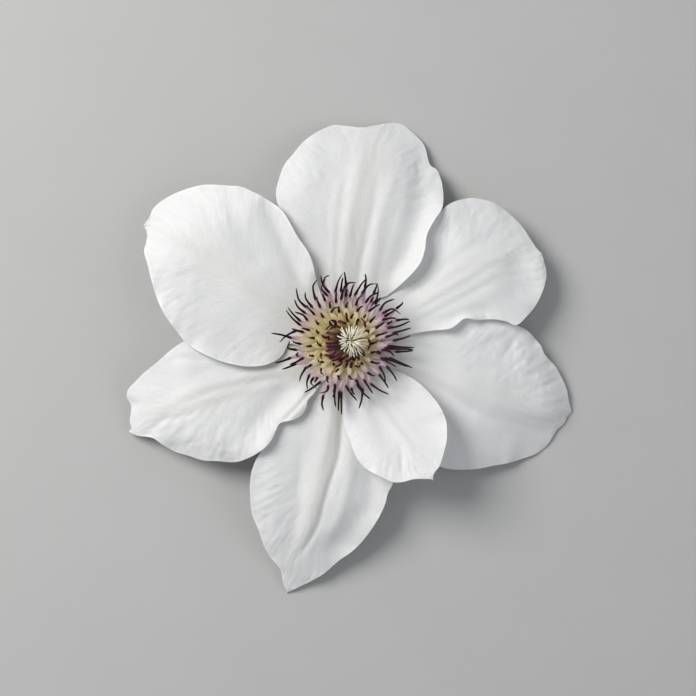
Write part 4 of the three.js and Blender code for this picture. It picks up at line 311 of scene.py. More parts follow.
  [3,3,205.3,-7.08,-3.35,19.64,-4.75,-3.07,20.9,-2.36,-2.43,21.3],
  [3,3,212.2,-7.41,-4.66,19.3,-5.42,-4.54,20.8,-3.02,-3.91,21.4],
  [3,3,224.4,-5.98,-5.85,19.8,-3.96,-5.3,21,-1.88,-4.06,21.4],
  [3,3,232.5,-4.97,-6.62,19.72,-2.99,-6.01,21.2,-1.08,-4.07,21.6],
  [3,4,248.5,-2.67,-6.77,19.4,-1.15,-5.83,20.7,0.1,-4.22,21.3],
  [3,4,254.2,-1.92,-6.79,20.2,-2.85,-7.75,21.3,-3.91,-8.65,22.2],
  [3,4,264.1,-0.72,-6.93,20.26,0.48,-5.99,21.1,1.41,-4.7,21.3],
  [3,4,282.1,1.52,-7.11,20.2,1.34,-8.03,21.3,0.61,-8.96,22.1],
  [3,4,285.8,1.91,-6.76,19.6,2.37,-5.34,20.9,2.05,-3.72,21.4],
  [3,5,307.5,3.89,-6.26,19.94,3.59,-5,21,3.05,-3.72,21.3],
  [3,5,318.9,5.68,-4.95,19.7,4.89,-4.02,20.9,4.02,-2.9,21.4],
  [3,5,338.2,7.02,-2.81,19.5,7.15,-1.09,21.3,6.28,0.69,21.7],
]

STYLES = [
  [0,1.68,0.51,16.2,2.11,0.51,20.4,3.55,0.36,23.04,5.88,0.16,22.68],
  [0,1.53,0.66,16.2,1.96,0.66,20.4,3.12,0.74,24.03,5.13,1.19,23.55],
  [0,1.52,0.88,16.2,1.95,0.88,20.4,3.35,1.2,23.27,5.56,2.09,22.91],
  [0,1.43,1.06,16.2,1.87,1.06,20.4,3.02,1.56,23.89,4.86,2.98,23.43],
  [0,1.23,1.16,16.2,1.67,1.16,20.4,2.78,1.88,23.52,4.36,3.68,23.11],
  [0,0.98,0.37,16.2,1.41,0.37,21.2,2.76,0.86,24.75,4.34,1.83,24.94],
  [0,0.82,0.67,16.2,1.25,0.67,21.2,1.9,1.11,24.84,2.61,2.33,24.95],
  [1,0.41,1.74,16.2,0.84,1.74,20.4,1.92,2.17,23.89,3.3,3.9,23.51],
  [1,0.19,1.68,16.2,0.63,1.68,20.4,1.64,2.38,23.64,2.77,4.38,23.1],
  [1,0,1.72,16.2,0.44,1.72,20.4,1.17,2.2,23.37,1.71,4.15,22.8],
  [1,-0.21,1.78,16.2,0.23,1.78,20.4,0.86,2.22,23.22,1.05,4.19,22.68],
  [1,-0.39,1.67,16.2,0.04,1.67,20.4,0.46,2.34,23.11,0.21,4.37,22.73],
  [1,0.19,1.15,16.2,0.62,1.15,21.2,1.22,1.71,24.56,1.53,3.23,24.61],
  [1,-0.16,1,16.2,0.27,1,21.2,0.45,1.69,24.74,-0.09,2.96,24.95],
  [2,-1.23,1.16,16.2,-0.8,1.16,20.4,-0.23,1.77,23.07,-0.61,3.58,22.67],
  [2,-1.4,1.04,16.2,-0.97,1.04,20.4,-0.9,1.89,23.26,-1.9,3.79,22.86],
  [2,-1.6,0.92,16.2,-1.16,0.92,20.4,-1.18,1.61,23.41,-2.47,3.24,22.97],
  [2,-1.65,0.71,16.2,-1.22,0.71,20.4,-0.82,0.91,23.14,-1.93,1.75,22.71],
  [2,-1.74,0.53,16.2,-1.31,0.53,20.4,-1.42,0.68,23.66,-3.04,1.15,23.17],
  [2,-0.9,0.73,16.2,-0.46,0.73,21.2,-0.53,1.16,24.55,-1.55,1.99,24.62],
  [2,-1.02,0.39,16.2,-0.58,0.39,21.2,-0.74,0.28,24.91,-1.84,-0.02,24.95],
  [3,-1.65,-0.5,16.2,-1.21,-0.5,20.4,-1.07,-0.31,23.96,-2.42,-0.13,23.6],
  [3,-1.58,-0.68,16.2,-1.14,-0.68,20.4,-0.93,-0.65,23.96,-2.21,-0.91,23.48],
  [3,-1.52,-0.87,16.2,-1.08,-0.87,20.4,-0.81,-0.98,23.62,-2.01,-1.67,23.23],
  [3,-1.34,-1,16.2,-0.91,-1,20.4,-0.92,-1.49,23.66,-2.18,-2.75,23.26],
  [3,-1.25,-1.18,16.2,-0.82,-1.18,20.4,-0.41,-1.64,23.37,-1.12,-3.2,22.95],
  [3,-0.96,-0.36,16.2,-0.52,-0.36,21.2,-0.11,-0.62,24.81,-0.61,-1.33,24.8],
  [3,-0.88,-0.72,16.2,-0.45,-0.72,21.2,0.29,-1.11,24.86,0.33,-2.32,24.91],
  [4,-0.4,-1.7,16.2,0.04,-1.7,20.4,0.3,-2.06,23.91,-0.31,-3.71,23.41],
  [4,-0.21,-1.79,16.2,0.23,-1.79,20.4,0.64,-2.34,23.79,0.43,-4.37,23.4],
  [4,-0,-1.73,16.2,0.43,-1.73,20.4,0.91,-2.56,23.4,0.93,-4.81,22.92],
  [4,0.2,-1.69,16.2,0.63,-1.69,20.4,1.38,-2.64,23.5,1.98,-4.99,22.99],
  [4,0.41,-1.76,16.2,0.85,-1.76,20.4,1.72,-2.41,23.67,2.69,-4.52,23.18],
  [4,-0.17,-1.04,16.2,0.27,-1.04,21.2,0.94,-2.11,24.45,1.4,-4,24.59],
  [4,0.16,-0.99,16.2,0.6,-0.99,21.2,1.61,-1.36,24.88,2.71,-2.38,24.91],
  [5,1.33,-1.25,16.2,1.77,-1.25,20.4,2.7,-2.17,23.42,3.95,-4.39,22.93],
  [5,1.45,-1.07,16.2,1.88,-1.07,20.4,2.8,-1.69,23.34,4.28,-3.43,22.8],
  [5,1.56,-0.9,16.2,1.99,-0.9,20.4,3.16,-1.4,23.83,5.08,-2.76,23.39],
  [5,1.53,-0.66,16.2,1.96,-0.66,20.4,3.34,-1.04,23.92,5.46,-1.96,23.42],
  [5,1.67,-0.51,16.2,2.11,-0.51,20.4,3.7,-0.69,23.29,6.13,-1.12,22.75],
  [5,0.79,-0.64,16.2,1.22,-0.64,21.2,2.51,-1.03,24.64,4.08,-1.78,24.75],
  [5,0.96,-0.36,16.2,1.4,-0.36,21.2,2.8,-0.24,24.64,4.52,0.08,24.74],
]

# ------------------------------------------------------------------ the shape
# The same tepal surfaces as the solid model, in millimetres about the flower's
# axis, with the fine relief of the petals added.

THICK = 0.36
COVER_GAP = 0.95
LAYER_STEP = 1.05
ARCH_R = np.array([0, 4, 10, 20, 30, 40, 50, 60, 70, 78, 86.0])
ARCH_Z = np.array([7.4, 7.55, 8.4, 9.6, 10.5, 10.9, 10.7, 9.7, 8.1, 6.5, 4.8])


def _arch_slopes():
    h = np.diff(ARCH_R)
    d = np.diff(ARCH_Z) / h
    m = np.zeros(len(ARCH_R))
    for i in range(1, len(ARCH_R) - 1):
        if d[i - 1] * d[i] > 0:
            w1, w2 = 2 * h[i] + h[i - 1], h[i] + 2 * h[i - 1]
            m[i] = (w1 + w2) / (w1 / d[i - 1] + w2 / d[i])
    m[-1] = d[-1]
    return h, m


_H, _M = _arch_slopes()


def arch(r):
    r = np.clip(r, 0, ARCH_R[-1] - 0.01)
    i = np.clip(np.searchsorted(ARCH_R, r, side="right") - 1, 0, len(ARCH_R) - 2)
    t = (r - ARCH_R[i]) / _H[i]
    return ((2 * t**3 - 3 * t**2 + 1) * ARCH_Z[i] + (t**3 - 2 * t**2 + t) * _H[i] * _M[i]
            + (-2 * t**3 + 3 * t**2) * ARCH_Z[i + 1] + (t**3 - t**2) * _H[i] * _M[i + 1])


def smoothstep(a, b, x):
    t = np.clip((x - a) / (b - a), 0, 1)
    return t * t * (3 - 2 * t)


def smooth_line(points, step):
    p = np.asarray(points, float)
    q = np.vstack([2 * p[0] - p[1], p, 2 * p[-1] - p[-2]])
    out = []
    for i in range(1, len(q) - 2):
        p0, p1, p2, p3 = q[i - 1:i + 3]
        gap = lambda a, b: math.sqrt(max(float(np.linalg.norm(b - a)), 1e-6))
        t0 = 0.0
        t1 = t0 + gap(p0, p1)
        t2 = t1 + gap(p1, p2)
        t3 = t2 + gap(p2, p3)
        n = max(2, math.ceil(float(np.linalg.norm(p2 - p1)) / step))
        for j in range(n):
            t = t1 + (t2 - t1) * j / n
            a1 = (t1 - t) / (t1 - t0) * p0 + (t - t0) / (t1 - t0) * p1
            a2 = (t2 - t) / (t2 - t1) * p1 + (t - t1) / (t2 - t1) * p2
            a3 = (t3 - t) / (t3 - t2) * p2 + (t - t2) / (t3 - t2) * p3
            b1 = (t2 - t) / (t2 - t0) * a1 + (t - t0) / (t2 - t0) * a2
            b2 = (t3 - t) / (t3 - t1) * a2 + (t - t1) / (t3 - t1) * a3
            out.append((t2 - t) / (t2 - t1) * b1 + (t - t1) / (t2 - t1) * b2)
    out.append(p[-1])
    return np.array(out)


def lengths(line):
    return np.concatenate([[0], np.cumsum(np.linalg.norm(np.diff(line, axis=0), axis=1))])


def evenly(line, count):
    length = lengths(line)
    s = np.linspace(0, length[-1], count + 1)
    return np.stack([np.interp(s, length, line[:, k]) for k in range(line.shape[1])], 1)


def distance_to(line, xy):
    """Distance to a line in plan, and how far along it the nearest point is, 0 to 1."""
    a, b = line[:-1], line[1:]
    ab = b - a
    l2 = (ab**2).sum(1) + 1e-12
    run = np.concatenate([[0], np.cumsum(np.sqrt(l2))])
    d, s = np.empty(len(xy)), np.empty(len(xy))
    for c in range(0, len(xy), 3000):
        p = xy[c:c + 3000]
        ap = p[:, None, :] - a[None]
        t = np.clip((ap * ab[None]).sum(2) / l2, 0, 1)
        q = ((ap - t[..., None] * ab[None])**2).sum(2)
        i = q.argmin(1)
        k = np.arange(len(p))
        d[c:c + 3000] = np.sqrt(q[k, i])
        s[c:c + 3000] = (run[i] + t[k, i] * np.sqrt(l2[i])) / run[-1]
    return d, s


def is_inside(outline, xy):
    x, y = xy[:, 0], xy[:, 1]
    inside = np.zeros(len(xy), bool)
    x1, y1 = outline[:, 0], outline[:, 1]
    x2, y2 = np.roll(x1, -1), np.roll(y1, -1)
    for i in range(len(outline)):
        cross = (y1[i] > y) != (y2[i] > y)
        if cross.any():
            xi = x1[i] + (y - y1[i]) * (x2[i] - x1[i]) / ((y2[i] - y1[i]) or 1e-12)
            inside ^= cross & (x < xi)
    return inside


def value_noise(x, y, seed):
    """Smooth noise in -1..1 on a unit lattice."""
    table = np.random.default_rng(seed).uniform(-1, 1, (256, 256))
    xi, yi = np.floor(x).astype(int), np.floor(y).astype(int)
    fx, fy = x - xi, y - yi
    fx, fy = fx**3 * (fx * (fx * 6 - 15) + 10), fy**3 * (fy * (fy * 6 - 15) + 10)
    at = lambda i, j: table[i & 255, j & 255]
    return ((at(xi, yi) * (1 - fx) + at(xi + 1, yi) * fx) * (1 - fy)
            + (at(xi, yi + 1) * (1 - fx) + at(xi + 1, yi + 1) * fx) * fy)


LINES = {}
for _name, _t in TEPALS.items():
    _a, _b = smooth_line(_t["right"], 0.8), smooth_line(_t["left"], 0.8)
    _out = np.vstack([_a, _b[::-1][1:-1]])
    LINES[_name] = {
        "a": _a, "b": _b, "outline": _out,
        "ridges": [(smooth_line(r["line"], 1.5), r["rise"], r["width"]) for r in _t["ridges"]],
        "bearing": math.atan2(_t["right"][0][1] + _t["left"][0][1], _t["right"][0][0] + _t["left"][0][0]),
    }


def free_height(name, xy):
    t = TEPALS[name]
    r = np.hypot(xy[:, 0], xy[:, 1])
    z = (arch(r) + t["layer"] * LAYER_STEP * (0.8 + 0.2 * np.clip((r - 6) / 10, 0, 1)) * (1 - 0.7 * smoothstep(52, 78, r))
         + t["tip_lift"] * np.clip((r - t["curl_from"]) / 30, 0, 2)**2)
    for line, rise, width in LINES[name]["ridges"]:
        d, s = distance_to(line, xy)
        z += (rise * np.exp(-((d / width)**2)) * smoothstep(0, 0.22, s)
              * smoothstep(0, 0.22, 1 - s) * smoothstep(5, 14, r))
    return z


def neighbours_above(name):
    out = []
    for other in TEPALS:
        if other == name or TEPALS[other]["layer"] <= TEPALS[name]["layer"]:
            continue
        turn = abs((LINES[name]["bearing"] - LINES[other]["bearing"] + math.pi) % (2 * math.pi) - math.pi)
        if turn < math.radians(100):
            out.append(other)
    return out


def signed_edge(name, xy):
    """Distance to the tepal's outline, negative inside it."""
    outline = LINES[name]["outline"]
    d, _ = distance_to(np.vstack([outline, outline[:1]]), xy)
    return np.where(is_inside(outline, xy), -d, d)


def surface(name, xy, extra=None):
    """The middle surface's height, pressed down wherever a higher tepal covers it."""
    z = free_height(name, xy)
    if extra is not None:
        z = z + extra
    for other in neighbours_above(name):
        d = signed_edge(other, xy)
        near = d < 6
        if not near.any():
            continue
        limit = surface(other, xy[near]) - COVER_GAP + 1.1 * np.clip(d[near] - 0.6, 0, None)
        soft, zz = 0.5, z[near]
        over = zz - limit
        z[near] = np.where(over < -soft, zz, np.where(over > soft, limit, zz - (over + soft)**2 / (4 * soft)))
    return z


# ------------------------------------------------------------- mesh helpers

def to_world(points_mm):
    return np.asarray(points_mm, float) * MM + SHIFT


def build_mesh(name, points_mm, quads, tris, attributes, smooth=True):
    """A mesh object from millimetre points, with vertex attributes (name: N x 3)."""
    verts = to_world(points_mm).astype(np.float32)
    quads = np.asarray(quads, np.int32).reshape(-1, 4)
    tris = np.asarray(tris, np.int32).reshape(-1, 3)
    mesh = bpy.data.meshes.new(name)
    mesh.vertices.add(len(verts))
    mesh.vertices.foreach_set("co", verts.ravel())
    loops = np.concatenate([quads.ravel(), tris.ravel()]).astype(np.int32)
    mesh.loops.add(len(loops))
    mesh.loops.foreach_set("vertex_index", loops)
    totals = np.concatenate([np.full(len(quads), 4), np.full(len(tris), 3)]).astype(np.int32)
    starts = np.concatenate([[0], np.cumsum(totals)[:-1]]).astype(np.int32)
    mesh.polygons.add(len(totals))
    mesh.polygons.foreach_set("loop_start", starts)
    mesh.polygons.foreach_set("loop_total", totals)
    mesh.polygons.foreach_set("use_smooth", np.full(len(totals), smooth))
    mesh.update(calc_edges=True)
    mesh.validate()
    for key, values in attributes.items():
        layer = mesh.attributes.new(key, "FLOAT_VECTOR", "POINT")
        layer.data.foreach_set("vector", np.asarray(values, np.float32).ravel())
    obj = bpy.data.objects.new(name, mesh)
    bpy.context.scene.collection.objects.link(obj)
    return obj


def face_outwards(points, quads, tris):
    """Turns every face over if the closed surface is inside out."""
    p = np.asarray(points, float)
    t = [np.asarray(tris, int).reshape(-1, 3)]
    q = np.asarray(quads, int).reshape(-1, 4)
    if len(q):
        t += [q[:, [0, 1, 2]], q[:, [0, 2, 3]]]
    t = np.vstack(t)
    a, b, c = p[t[:, 0]], p[t[:, 1]], p[t[:, 2]]
    if (a * np.cross(b, c)).sum() < 0:
        return np.asarray(quads, int).reshape(-1, 4)[:, ::-1], np.asarray(tris, int).reshape(-1, 3)[:, ::-1]
    return np.asarray(quads, int).reshape(-1, 4), np.asarray(tris, int).reshape(-1, 3)


def normalised(v):
    return v / np.maximum(np.linalg.norm(v, axis=-1, keepdims=True), 1e-9)


# ------------------------------------------------------------------- tepals

ROWS, COLUMNS = 168, 96
VEIN_FAN = 0.30

# painted light: some petals are coloured whiter than the others, so that they look more brightly lit
PAINTED_BRIGHTNESS = {"north": 0.1, "north_west": 0.0, "west": 0.2, "south": 0.1,
             "south_small": 1.0, "east": 1.0, "north_east": 0.9}

# where each petal is most crinkled: x, y and radius in mm, and how strongly
CRINKLES = {
    "north": [(24.9, 61.3, 8, 2.2), (20.5, 51.1, 7, 1.4), (-10.4, 54.7, 8, 1.7), (32.3, 42.8, 7, 1.0)],
    "north_west": [(-57.0, 17.0, 10, 1.8), (-43.9, 43.0, 9, 1.5), (-32.9, -2.7, 9, 1.3), (-54.4, 30.2, 8, 1.0)],
    "west": [(-54.2, -28.5, 9, 1.8), (-42.7, -32.4, 9, 2.0), (-30.5, -33.1, 8, 1.5)],
    "south": [(-23.9, -52.2, 8, 1.8), (-20.6, -65.4, 7, 1.4)],
    "south_small": [(20.4, -41.8, 6, 2.0), (32.2, -39.2, 6, 1.0)],
    "east": [(45.8, -3.1, 9, 2.0), (59.4, -6.4, 9, 2.2), (69.6, -14.1, 7, 2.0), (72.9, -27.5, 9, 1.2)],
    "north_east": [(47.6, 39.6, 7, 1.8), (62.9, 24.6, 8, 1.4), (57.8, 34.7, 6, 1.0)],
}


def tepal(name, seed):
    a, b = LINES[name]["a"], LINES[name]["b"]
    # the narrow claw runs on into the receptacle
    bearing = LINES[name]["bearing"]
    spread = math.radians(26)
    turn = 1 if ((a[0][1] * math.cos(bearing) - a[0][0] * math.sin(bearing)) > 0) else -1
    inner = lambda sign: np.array([3.4 * math.cos(bearing + sign * spread), 3.4 * math.sin(bearing + sign * spread)])
    a = np.vstack([inner(turn), a])
    b = np.vstack([inner(-turn), b])
    ea, eb = evenly(a, ROWS), evenly(b, ROWS)
    j = np.arange(COLUMNS + 1)
    v = 0.5 - 0.5 * np.cos(np.pi * (j + 3.0) / (COLUMNS + 6.0))
    v = (v - v[0]) / (v[-1] - v[0])
    u = np.linspace(0, 1, ROWS + 1)
    plan = ea[:, None, :] * (1 - v)[None, :, None] + eb[:, None, :] * v[None, :, None]
    width = np.linalg.norm(ea - eb, axis=1)
    mid = (ea + eb) / 2
    run = lengths(mid)
    length = run[-1]
    flat = plan.reshape(-1, 2)
    across = (2 * v - 1)[None, :] * np.ones((ROWS + 1, 1))
    uu = u[:, None] * np.ones((1, COLUMNS + 1))
    side = np.sign(across)
    s = run[:, None] - VEIN_FAN * length * np.sqrt(np.abs(across))
    t = across * width[:, None] / 2
    edge = np.clip(-signed_edge(name, flat), 0, None).reshape(uu.shape)
    r = np.hypot(plan[..., 0], plan[..., 1])

    # fine relief: streaks that fan out to the edges, crinkles near them, soft
    # swells over the blade and a gently waved edge
    x, y = plan[..., 0], plan[..., 1]
    sides = smoothstep(0.22, 0.75, np.abs(across)) * smoothstep(0.10, 0.34, uu)
    outer = smoothstep(0.30, 0.70, uu)
    patch = 0.55 + 0.45 * value_noise(x / 9.0 + 11, y / 9.0 + 5, seed)
    lane = np.abs(t) / 5.5 + side * 31.0
    streak = value_noise(s / 0.50, lane, seed + 1) * 0.6 + value_noise(s / 0.28, lane * 1.3, seed + 2) * 0.4
    crinkle = value_noise(s / 1.35, lane * 1.25, seed + 3)
    pucker = value_noise(s / 2.6, lane * 1.7, seed + 4)
    ribs = value_noise(t / 0.62, run[:, None] / 16.0 * np.ones_like(t), seed + 5)
    ribs2 = value_noise(t / 1.5 + 9, run[:, None] / 22.0 * np.ones_like(t), seed + 6)
    swell = value_noise(x / 15.0 + 3, y / 15.0 + 7, seed + 7)
    swell2 = value_noise(x / 6.5 + 13, y / 6.5 + 1, seed + 8)
    along = run[:, None] * np.ones_like(t) + side * 57.0
    wave = value_noise(along / 4.2, side * 3.0, seed + 9)
    wave2 = value_noise(along / 1.7, side * 5.0, seed + 10)
    relief = (0.052 * streak * sides * (0.5 + 0.5 * patch)
              + 0.105 * crinkle * sides * outer * patch
              + 0.16 * pucker * sides * outer * patch
              + 0.030 * ribs * (1 - sides) * smoothstep(0.05, 0.2, uu)
              + 0.075 * ribs2 * (1 - sides) * smoothstep(0.05, 0.2, uu)
              + 0.34 * swell * smoothstep(0.2, 0.5, uu)
              + 0.13 * swell2 * smoothstep(0.2, 0.5, uu)
              + 0.42 * wave * np.exp(-edge / 3.0) * smoothstep(0.2, 0.4, uu)
              + 0.13 * wave2 * np.exp(-edge / 1.3) * smoothstep(0.2, 0.4, uu))
    zone_of = sum(k * np.exp(-((x - cx)**2 + (y - cy)**2) / rad**2) for cx, cy, rad, k in CRINKLES[name])
    dimple = value_noise(x / 1.5 + 5, y / 1.5 + 2, seed + 11)
    relief = relief + zone_of * smoothstep(0.0, 2.0, edge) * (
        0.055 * crinkle + 0.060 * pucker + 0.028 * streak + 0.045 * dimple)
    z = surface(name, flat, relief.ravel())

    half = 0.5 * THICK * (1 - 0.42 * np.exp(-edge / 1.1)) + 0.22 * np.exp(-np.clip(r - 4, 0, None) / 4.0)
    z = np.maximum(z.reshape(uu.shape), half + 0.06)
    p = np.stack([x, y, z], -1)
    du = np.gradient(p, axis=0)
    dv = np.gradient(p, axis=1)
    du[-1], dv[-1] = du[-2], dv[-2]
    n = normalised(np.cross(du, dv))
    n *= np.sign(n[..., 2:3] + 1e-12)
    # three strong veins stand out on the back, with finer ones between them
    veins = np.zeros_like(t)
    for centre, strength in ((0.0, 1.0), (-0.21, 0.75), (0.21, 0.75)):
        lane_mm = (across - centre * (1 - 0.45 * uu)) * width[:, None] / 2
        veins = np.maximum(veins, strength * np.exp(-(lane_mm / 0.55)**2))
    veins *= smoothstep(0.99, 0.72, uu) * smoothstep(0.0, 0.05, uu)
    top = p + n * half[..., None]
    bottom = p - n * (half + 0.26 * veins + 0.03 * ribs)[..., None]
    bottom[..., 2] = np.maximum(bottom[..., 2], 0.03)

    m = ROWS * (COLUMNS + 1)
    index = np.arange(m).reshape(ROWS, COLUMNS + 1)
    tip = m
    count = m + 1
    tops = np.vstack([top[:ROWS].reshape(-1, 3), top[ROWS, 0][None]])
    bottoms = np.vstack([bottom[:ROWS].reshape(-1, 3), bottom[ROWS, 0][None]])
    quads = np.stack([index[:-1, :-1], index[:-1, 1:], index[1:, 1:], index[1:, :-1]], -1).reshape(-1, 4)
    tris = np.stack([index[-1, :-1], index[-1, 1:], np.full(COLUMNS, tip)], -1)
    loop = np.concatenate([index[0, ::-1], index[1:, 0], [tip], index[:0:-1, -1]])
    before, after = np.roll(loop, 1), np.roll(loop, -1)
    middles = (tops + bottoms) / 2
    tangent = normalised(middles[after] - middles[before])
    normal = normalised(tops[loop] - bottoms[loop])
    out = np.cross(tangent, normal)
    core = middles[index[ROWS // 2, COLUMNS // 2]]
    if ((middles[loop] - core) * out).sum() < 0:
        out = -out
    rim = middles[loop] + out * (np.linalg.norm(tops[loop] - bottoms[loop], axis=1) * 0.42)[:, None]
    rim[:, 2] = np.maximum(rim[:, 2], 0.05)
    points = np.vstack([tops, bottoms, rim])
    k = np.arange(len(loop))
    nxt = (k + 1) % len(loop)
    rim_id = 2 * count + k
    q = [quads, quads[:, ::-1] + count,
         np.stack([loop, rim_id, rim_id[nxt], loop[nxt]], -1),
         np.stack([rim_id, loop + count, loop[nxt] + count, rim_id[nxt]], -1)]
    tri = [tris, tris[:, ::-1] + count]
    q, tri = np.vstack(q), np.vstack(tri)
    # make the rim's faces turn the same way as the sheet's
    e = {(int(f[i]), int(f[(i + 1) % 4])) for f in quads[:COLUMNS] for i in range(4)}
    first = (int(loop[0]), int(loop[1]))
    if first in e:
        start = 2 * len(quads)
        q[start:] = q[start:, ::-1]
    q, tri = face_outwards(points, q, tri)

    flatten = lambda g: np.concatenate([g[:ROWS].ravel(), [g[ROWS, COLUMNS // 2]]])
    def spread_out(g):
        g = flatten(g)
        return np.concatenate([g, g, g[loop]])
    base = np.exp(-np.clip(r - 6, 0, None) / 8.0)
    rib = np.exp(-(np.abs(across) / 0.20)**2) * smoothstep(1.0, 0.6, uu)
    vein = np.stack([spread_out(s), spread_out(t), spread_out(edge)], -1)
    back = np.concatenate([np.zeros(count), np.ones(count), np.full(len(loop), 0.4)])
    zone = np.stack([spread_out(base), spread_out(rib), back], -1)
    # the third value is each petal's painted brightness, standing in for light
    strong = np.stack([spread_out(veins), spread_out(patch), spread_out(np.full_like(t, PAINTED_BRIGHTNESS[name]))], -1)
    return build_mesh(f"petal_{name}", points, q, tri, {"vein": vein, "zone": zone, "extra": strong})


# ------------------------------------------------------------ swept threads

def smooth3(points, count):
    """A smooth line through 3-D points, evenly spaced."""
    p = np.asarray(points, float)
    q = np.vstack([2 * p[0] - p[1], p, 2 * p[-1] - p[-2]])
    out = []
    for i in range(1, len(q) - 2):
        p0, p1, p2, p3 = q[i - 1:i + 3]
        for t in np.linspace(0, 1, 12, endpoint=False):
            out.append(0.5 * ((2 * p1) + (p2 - p0) * t + (2 * p0 - 5 * p1 + 4 * p2 - p3) * t * t
                              + (3 * p1 - p0 - 3 * p2 + p3) * t**3))
    out.append(p[-1])
    return evenly(np.array(out), count)


def sweep(line, wide, thick, turn_axis, sides, shape=None):
    """Rings of points along a line. wide and thick are full sizes at each ring;
    turn_axis is the direction that each ring's wide axis follows."""
    line = np.asarray(line, float)
    tangent = normalised(np.gradient(line, axis=0))
    w = turn_axis - (turn_axis * tangent).sum(1, keepdims=True) * tangent
    w = normalised(w)
    d = np.cross(tangent, w)
    angle = np.arange(sides) * 2 * np.pi / sides
    c, sn = np.cos(angle), np.sin(angle)
    scale = np.ones((len(line), sides)) if shape is None else shape(angle)
    ring = (line[:, None, :]
            + w[:, None, :] * (wide[:, None] / 2 * c[None] * scale)[..., None]
            + d[:, None, :] * (thick[:, None] / 2 * sn[None] * scale)[..., None])
    return ring, c


def ring_faces(rings, sides, offset):
    i = np.arange(rings - 1)[:, None]
    k = np.arange(sides)[None]
    a = i * sides + k
    b = i * sides + (k + 1) % sides
    quads = np.stack([a, b, b + sides, a + sides], -1).reshape(-1, 4) + offset
    n = rings * sides
    kk = np.arange(sides)
    start = np.stack([np.full(sides, n), (kk + 1) % sides, kk], -1) + offset
    last = (rings - 1) * sides
    end = np.stack([np.full(sides, n + 1), last + kk, last + (kk + 1) % sides], -1) + offset
    return quads, np.vstack([start, end])


class Bunch:
    """Collects closed threads into one mesh."""

    def __init__(self):
        self.p, self.q, self.t, self.a, self.w, self.n = [], [], [], [], [], 0

    def add(self, ring, values, where=None):
        rings, sides = ring.shape[:2]
        if where is None:
            where = ring
        q, t = ring_faces(rings, sides, 0)
        ends = np.stack([ring[0].mean(0), ring[-1].mean(0)])
        pts = np.vstack([ring.reshape(-1, 3), ends])
        closed = lambda v: np.vstack([v.reshape(-1, 3), v[0].mean(0)[None], v[-1].mean(0)[None]])
        q, t = face_outwards(pts - pts.mean(0), q, t)
        self.p.append(pts); self.q.append(q + self.n); self.t.append(t + self.n)
        self.a.append(closed(values)); self.w.append(closed(where))
        self.n += len(pts)

    def make(self, name):
        return build_mesh(name, np.vstack(self.p), np.vstack(self.q), np.vstack(self.t),
                          {"thread": np.vstack(self.a), "place": np.vstack(self.w)})


RINGS = [
    {"name": "outer", "radius": 5.0, "height": 11.7, "bundles": 8, "reach": 0.50, "lift": 0.66, "core": 3.8},
    {"name": "second", "radius": 4.7, "height": 12.9, "bundles": 10, "reach": 0.46, "lift": 0.78, "core": 3.5},
    {"name": "third", "radius": 4.2, "height": 14.1, "bundles": 8, "reach": 0.42, "lift": 0.90, "core": 3.0},
    {"name": "inner", "radius": 3.6, "height": 15.3, "bundles": 6, "reach": 0.34, "lift": 1.0, "core": 2.3},
]


def stamen_line(row):
    ring = RINGS[row[0]]
    angle = math.radians(row[2])
    radius, foot = ring["radius"], ring["height"]
    start = np.array([radius * math.cos(angle), radius * math.sin(angle), foot])
    joint, middle, tip = np.array(row[3:6]), np.array(row[6:9]), np.array(row[9:12])
    far = math.hypot(joint[0], joint[1])
    lean = np.array([math.cos(angle), math.sin(angle)]) / 2 + joint[:2] / far / 2
    lean = lean / np.linalg.norm(lean) * (radius + (far - radius) * ring["reach"])
    bend = np.array([lean[0], lean[1], foot + (joint[2] - foot) * ring["lift"]])
    at = lambda t: (1 - t)**2 * start + 2 * t * (1 - t) * bend + t * t * joint
    root = np.array([ring["core"] * math.cos(angle), ring["core"] * math.sin(angle), foot - 0.45])
    return [root, start, at(0.34), at(0.68), joint], [joint, middle, tip]


def place_values(points):
    """How far out a point is, in mm; the warm zone reaches further on one side."""
    r = np.hypot(points[..., 0], points[..., 1])
    bearing = np.arctan2(points[..., 1], points[..., 0])
    toward = np.cos(bearing - math.radians(182))
    return r - (1.2 * toward + 1.6 * np.clip(toward, 0, 1)**2) * smoothstep(5.0, 10.0, r)


